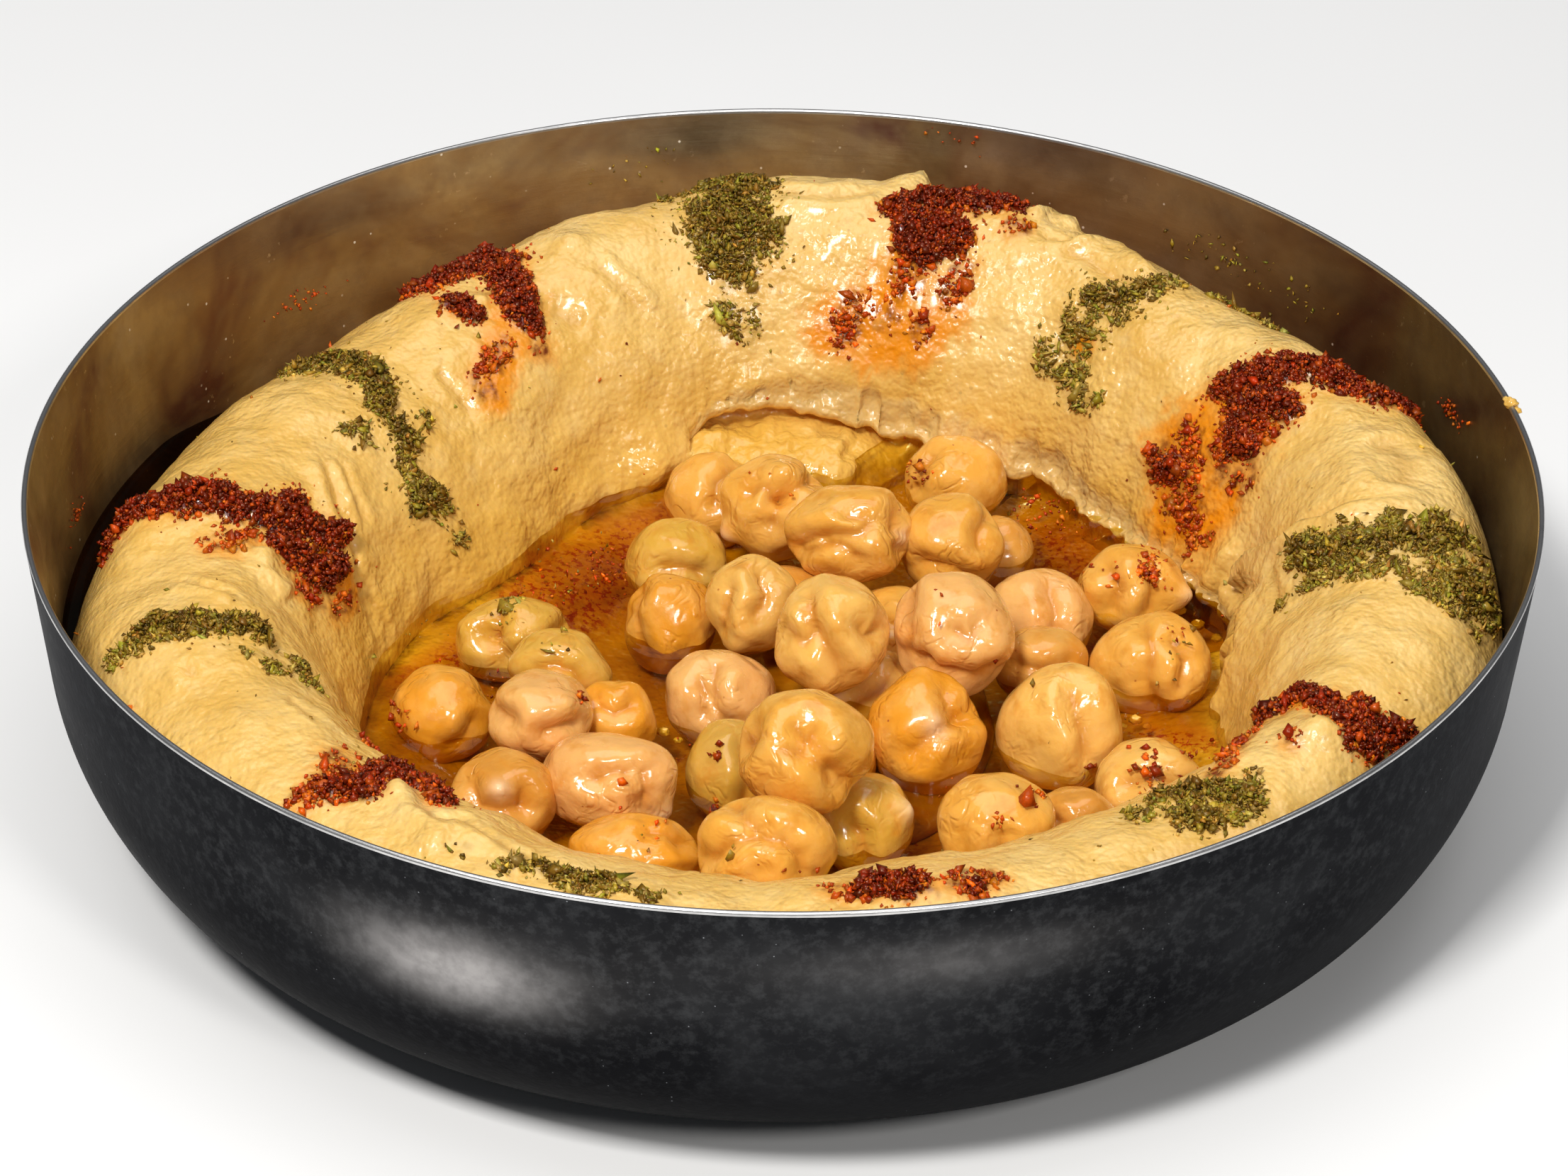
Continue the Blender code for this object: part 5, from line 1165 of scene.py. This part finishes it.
# ------------------------------------------------------------------ bowl
def bowl():
    """The turned bowl: outside, rolled rim, inside, with the faint dents of a used spun bowl."""
    segments = 288
    outer, inner = outside_profile(9), inside_profile(0.0, 9)
    lip = 0.64        # the sheet thins towards the rim
    inner = [(r + (SHEET - lip) * float(smooth((z - BOWL_HEIGHT + 6) / 5.5)), z) for r, z in inner]
    rim = [(RIM_RADIUS - lip / 2 + (lip / 2) * math.cos(t), BOWL_HEIGHT - 0.30 + 0.30 * math.sin(t))
           for t in np.linspace(0.15, math.pi - 0.15, 9)]
    top = BOWL_HEIGHT - 0.45
    outer = [(RIM_RADIUS - 0.04, top)] + [(r, z) for r, z in outer if z < top]
    inner = [(RIM_RADIUS - 0.04 - lip, top)] + [(r, z) for r, z in inner if z < top]
    profile = [(0.02, 0.0)] + outer[::-1] + rim + inner + [(0.02, inner[-1][1])]
    profile = np.array(profile)
    kind = np.array([0] * (len(outer)) + [2] * (len(rim) + 1) + [1] * len(inner))[:len(profile) - 1]
    a = np.arange(segments) * 2 * math.pi / segments
    r = np.tile(profile[:, 0], (segments, 1))
    z = np.tile(profile[:, 1], (segments, 1))
    points = np.stack([r * np.cos(a)[:, None], r * np.sin(a)[:, None], z], -1).reshape(-1, 3)
    wave = 0.10 * noise(points, 30, 91) * smooth(points[:, 2] / 6) * smooth((BOWL_HEIGHT + 1 - points[:, 2]) / 8)
    radius = np.maximum(np.hypot(points[:, 0], points[:, 1]), 1e-6)
    points[:, :2] *= (1 + wave / radius)[:, None]
    quads = grid_faces(segments, len(profile))
    az = np.degrees(np.arctan2(points[:, 1], points[:, 0]))
    # painted highlight: the patches on the outside where a lamp's reflection and a broad sheen are painted in
    wear_and_painted_highlight = np.exp(-(turn_to(az, 247) / 6.5) ** 2 - ((points[:, 2] - 25.5) / 3.6) ** 2)
    wear_and_painted_highlight = wear_and_painted_highlight + 0.17 * np.exp(-(turn_to(az, 282) / 9) ** 2 - ((points[:, 2] - 31) / 2.6) ** 2)
    wear_and_painted_highlight = wear_and_painted_highlight + 0.025 * np.exp(-(turn_to(az, 262) / 30) ** 2 - ((points[:, 2] - 30) / 6) ** 2)
    # painted reflection and shade on the inside: brighter at the back, darker on the right, darker low by the roll on
    # the left, and a purplish tint at the back right
    tone = np.interp(az % 360, (0, 22, 42, 60, 80, 105, 125, 145, 170, 200, 230, 330, 360),
                     (0.42, 0.45, 0.70, 0.80, 1.0, 1.25, 1.25, 1.05, 0.95, 0.85, 0.8, 0.6, 0.42))
    tone = tone * (1 - 0.45 * np.exp(-(turn_to(az, 181) / 34) ** 2) * smooth((25 - points[:, 2]) / 6))
    tone = tone[:, None] * np.where((np.abs(turn_to(az, 52)) < 24)[:, None], (1.0, 0.88, 0.88), (1.0, 1.0, 1.0))
    return points, quads, np.tile(kind, segments), {"wear_and_painted_highlight": wear_and_painted_highlight, "tone": tone}


def heap_core():
    """What lies under the heap: a low lump that the shown chickpeas cover."""
    d, quads = cube_sphere(14)
    size = 1 + 0.10 * noise(d, 0.5, 95)
    points = d * size[:, None] * (15.0, 25.0, 3.8) + (8.0, -2.0, 5.6)
    points[:, 2] = np.maximum(points[:, 2], 5.2)
    depth = np.clip(OIL - points[:, 2], 0, 6)
    tint = np.tile(np.array(TONES["brown"]) * 0.75, (len(d), 1))
    return points, quads, {"tint": tint, "crease_shade": np.zeros(len(d)), "pale": np.zeros(len(d)), "depth": depth}


CRUMBS = (    # bits of hummus that lie loose: x, y, z, size
    (78.6, 12.9, 38.0, 0.8), (79.1, 12.0, 37.6, 0.6), (78.4, 14.2, 37.7, 0.5), (38.3, -7.2, 9.7, 0.7), (36.9, -8.4, 9.6, 0.5),
    (39.5, -8.3, 9.6, 0.45), (-12.5, -10.8, 9.8, 0.7), (-10.9, -12.0, 9.6, 0.5), (-14.2, -12.4, 9.5, 0.5),
    (47.0, -14.0, 9.5, 0.6), (44.6, 14.5, 9.6, 0.6), (46.3, 11.8, 9.5, 0.8), (48.2, 9.0, 9.6, 0.6),
)


def crumbs():
    parts = []
    for k, (x, y, z, size) in enumerate(CRUMBS):
        d, quads = cube_sphere(7)
        points = d * (1 + 0.35 * noise(d + k, 0.6, 200 + k))[:, None] * (size, 0.8 * size, 0.7 * size) + (x, y, z)
        even = np.zeros(len(d))
        shades = {name: even for name in ("red", "green", "stain", "crease_shade", "torn", "spiced")}
        shades.update(depth=(z < 20) * 0.6 + 0.5 * np.clip(OIL - points[:, 2], 0, 3), low=even + 0.4, wet=even + 0.7, grain=even + 0.6)
        parts.append((points, quads, shades))
    return joined(parts)


# ------------------------------------------------------------------ build
hummus, pea_skin = hummus_material(), chickpea_material()
roll = Roll()
make_piece("hummus_roll", roll.points, roll.quads, [hummus], ["hummus"], roll.shades)

points, quads, kinds, shades = bowl()
make_piece("bowl_turned", points, quads, metal_materials(), ["bowl"], shades, face_material=kinds)
points, quads, shades = crumbs()
make_piece("hummus_crumbs", points, quads, [hummus], shades=shades)

heap = [chickpea(key, entry, 24) for key, entry in CHICKPEAS.items() if isinstance(key, int)]
points, quads, shades = joined(heap)
make_piece("chickpeas_in_heap", points, quads, [pea_skin], ["chickpea_heap"], shades)
points, quads, shades = heap_core()
make_piece("heap_core", points, quads, [pea_skin], shades=shades)
for key, entry in CHICKPEAS.items():
    if not isinstance(key, int):
        points, quads, shades = chickpea(key, entry, 27)
        make_piece("loose_" + key, points, quads, [pea_skin], [key], shades)

points, groups, shades = pool(roll, CHICKPEAS)
make_piece("oil_in_pool", points, groups, [oil_material("oil", (0.97, 0.94, 0.60), (0.60, 0.46, 0.08), 11)],
           ["oil_pool"], shades)
points, quads, shades = crescent()
# the gap oil's dark tint is partly its own brown and partly painted shade of the deep gap
make_piece("oil_in_gap", points, quads, [oil_material("oil_gap", (0.42, 0.28, 0.06), (0.20, 0.11, 0.02), 10)],
           ["oil_crescent"], shades)

points, faces, shades = spice(roll, CHICKPEAS, 7, roll.red, roll.red_trail, RED_PILES, (16200, 2600, 2200), (0.34, 0.20),
                              (1, 0.85, 0.7), RED_TINTS, FLAKES, RED_LOOSE)
make_piece("red_spice_grains", points, faces, [grain_material("red_spice", 0.20, 0.5, (1.0, 0.72, 0.50))], shades=shades, flat=True)
points, faces, shades = spice(roll, CHICKPEAS, 8, roll.green, roll.green_trail, GREEN_PILES, (9000, 8200, 2500), (0.31, 0.19),
                              (1.3, 0.8, 0.40), GREEN_TINTS, HERBS, GREEN_LOOSE)
make_piece("green_herb_flakes", points, faces, [grain_material("green_herb", 0.26, 0.5, (1.0, 0.95, 0.60))], shades=shades, flat=True)


# ------------------------------------------------------------------ camera, light, floor
def rotation(right, up, forward):
    return Matrix([(right[k], up[k], -forward[k]) for k in range(3)]).to_4x4()


camera = bpy.data.objects.new("camera", bpy.data.cameras.new("camera"))
bpy.context.scene.collection.objects.link(camera)
camera.data.lens, camera.data.sensor_width, camera.data.sensor_fit = 108.378, 36.0, "HORIZONTAL"
camera.data.clip_start, camera.data.clip_end = 0.02, 20.0
camera.matrix_world = Matrix.Translation((0.0, -0.425899, 0.299935)) @ rotation(
    (0.99992517, 0.00633284, 0.01046678), (-0.01222598, 0.54729437, 0.83685088), (0.000428769, 0.836916224, -0.547330841))
bpy.context.scene.camera = camera


def lamp(name, place, aim, size, power, colour=(1, 1, 1), spread=180):
    data = bpy.data.lights.new(name, "AREA")
    data.shape, data.size, data.size_y = "RECTANGLE", size[0], size[1]
    data.energy, data.color = power, colour
    data.spread = math.radians(spread)
    made = bpy.data.objects.new(name, data)
    bpy.context.scene.collection.objects.link(made)
    back = np.array(place, float) - np.array(aim, float)
    back /= np.linalg.norm(back)
    right = np.cross((0, 0, 1), back)
    right /= np.linalg.norm(right)
    up = np.cross(back, right)
    made.matrix_world = Matrix.Translation(place) @ rotation(right, up, -back)
    return made


lamp("key", (-0.23, -0.48, 0.78), (0, 0, 0.02), (0.16, 0.16), 6.8, (1.0, 0.985, 0.96))
lamp("second", (0.34, -0.62, 0.60), (0, 0, 0.02), (0.14, 0.14), 2.0, (1.0, 0.98, 0.95))
lamp("overhead", (0.0, 0.10, 1.0), (0, 0, 0), (1.0, 0.8), 4.4)

world = bpy.data.worlds.new("studio")
bpy.context.scene.world = world
world.use_nodes = True
background = world.node_tree.nodes["Background"]
background.inputs["Color"].default_value = (0.92, 0.95, 1.0, 1.0)
background.inputs["Strength"].default_value = 0.10

s = Shader("studio_floor")
s.finish(Base_Color=s.ramp(s.noise(180, 3), (0.3, (0.86, 0.86, 0.86)), (0.7, (0.90, 0.90, 0.90))), Roughness=0.75,
         Normal=s.bump(s.noise(1.2, 3), 0.02, 0.3))
floor_mesh = bpy.data.meshes.new("studio_floor")
floor_mesh.from_pydata([(-3, -3, -0.0003), (3, -3, -0.0003), (3, 3, -0.0003), (-3, 3, -0.0003)], [], [(0, 1, 2, 3)])
floor_mesh.materials.append(s.material)
floor = bpy.data.objects.new("studio_floor", floor_mesh)
bpy.context.scene.collection.objects.link(floor)
bpy.context.scene.view_settings.view_transform = "Standard"

bpy.context.view_layer.update()
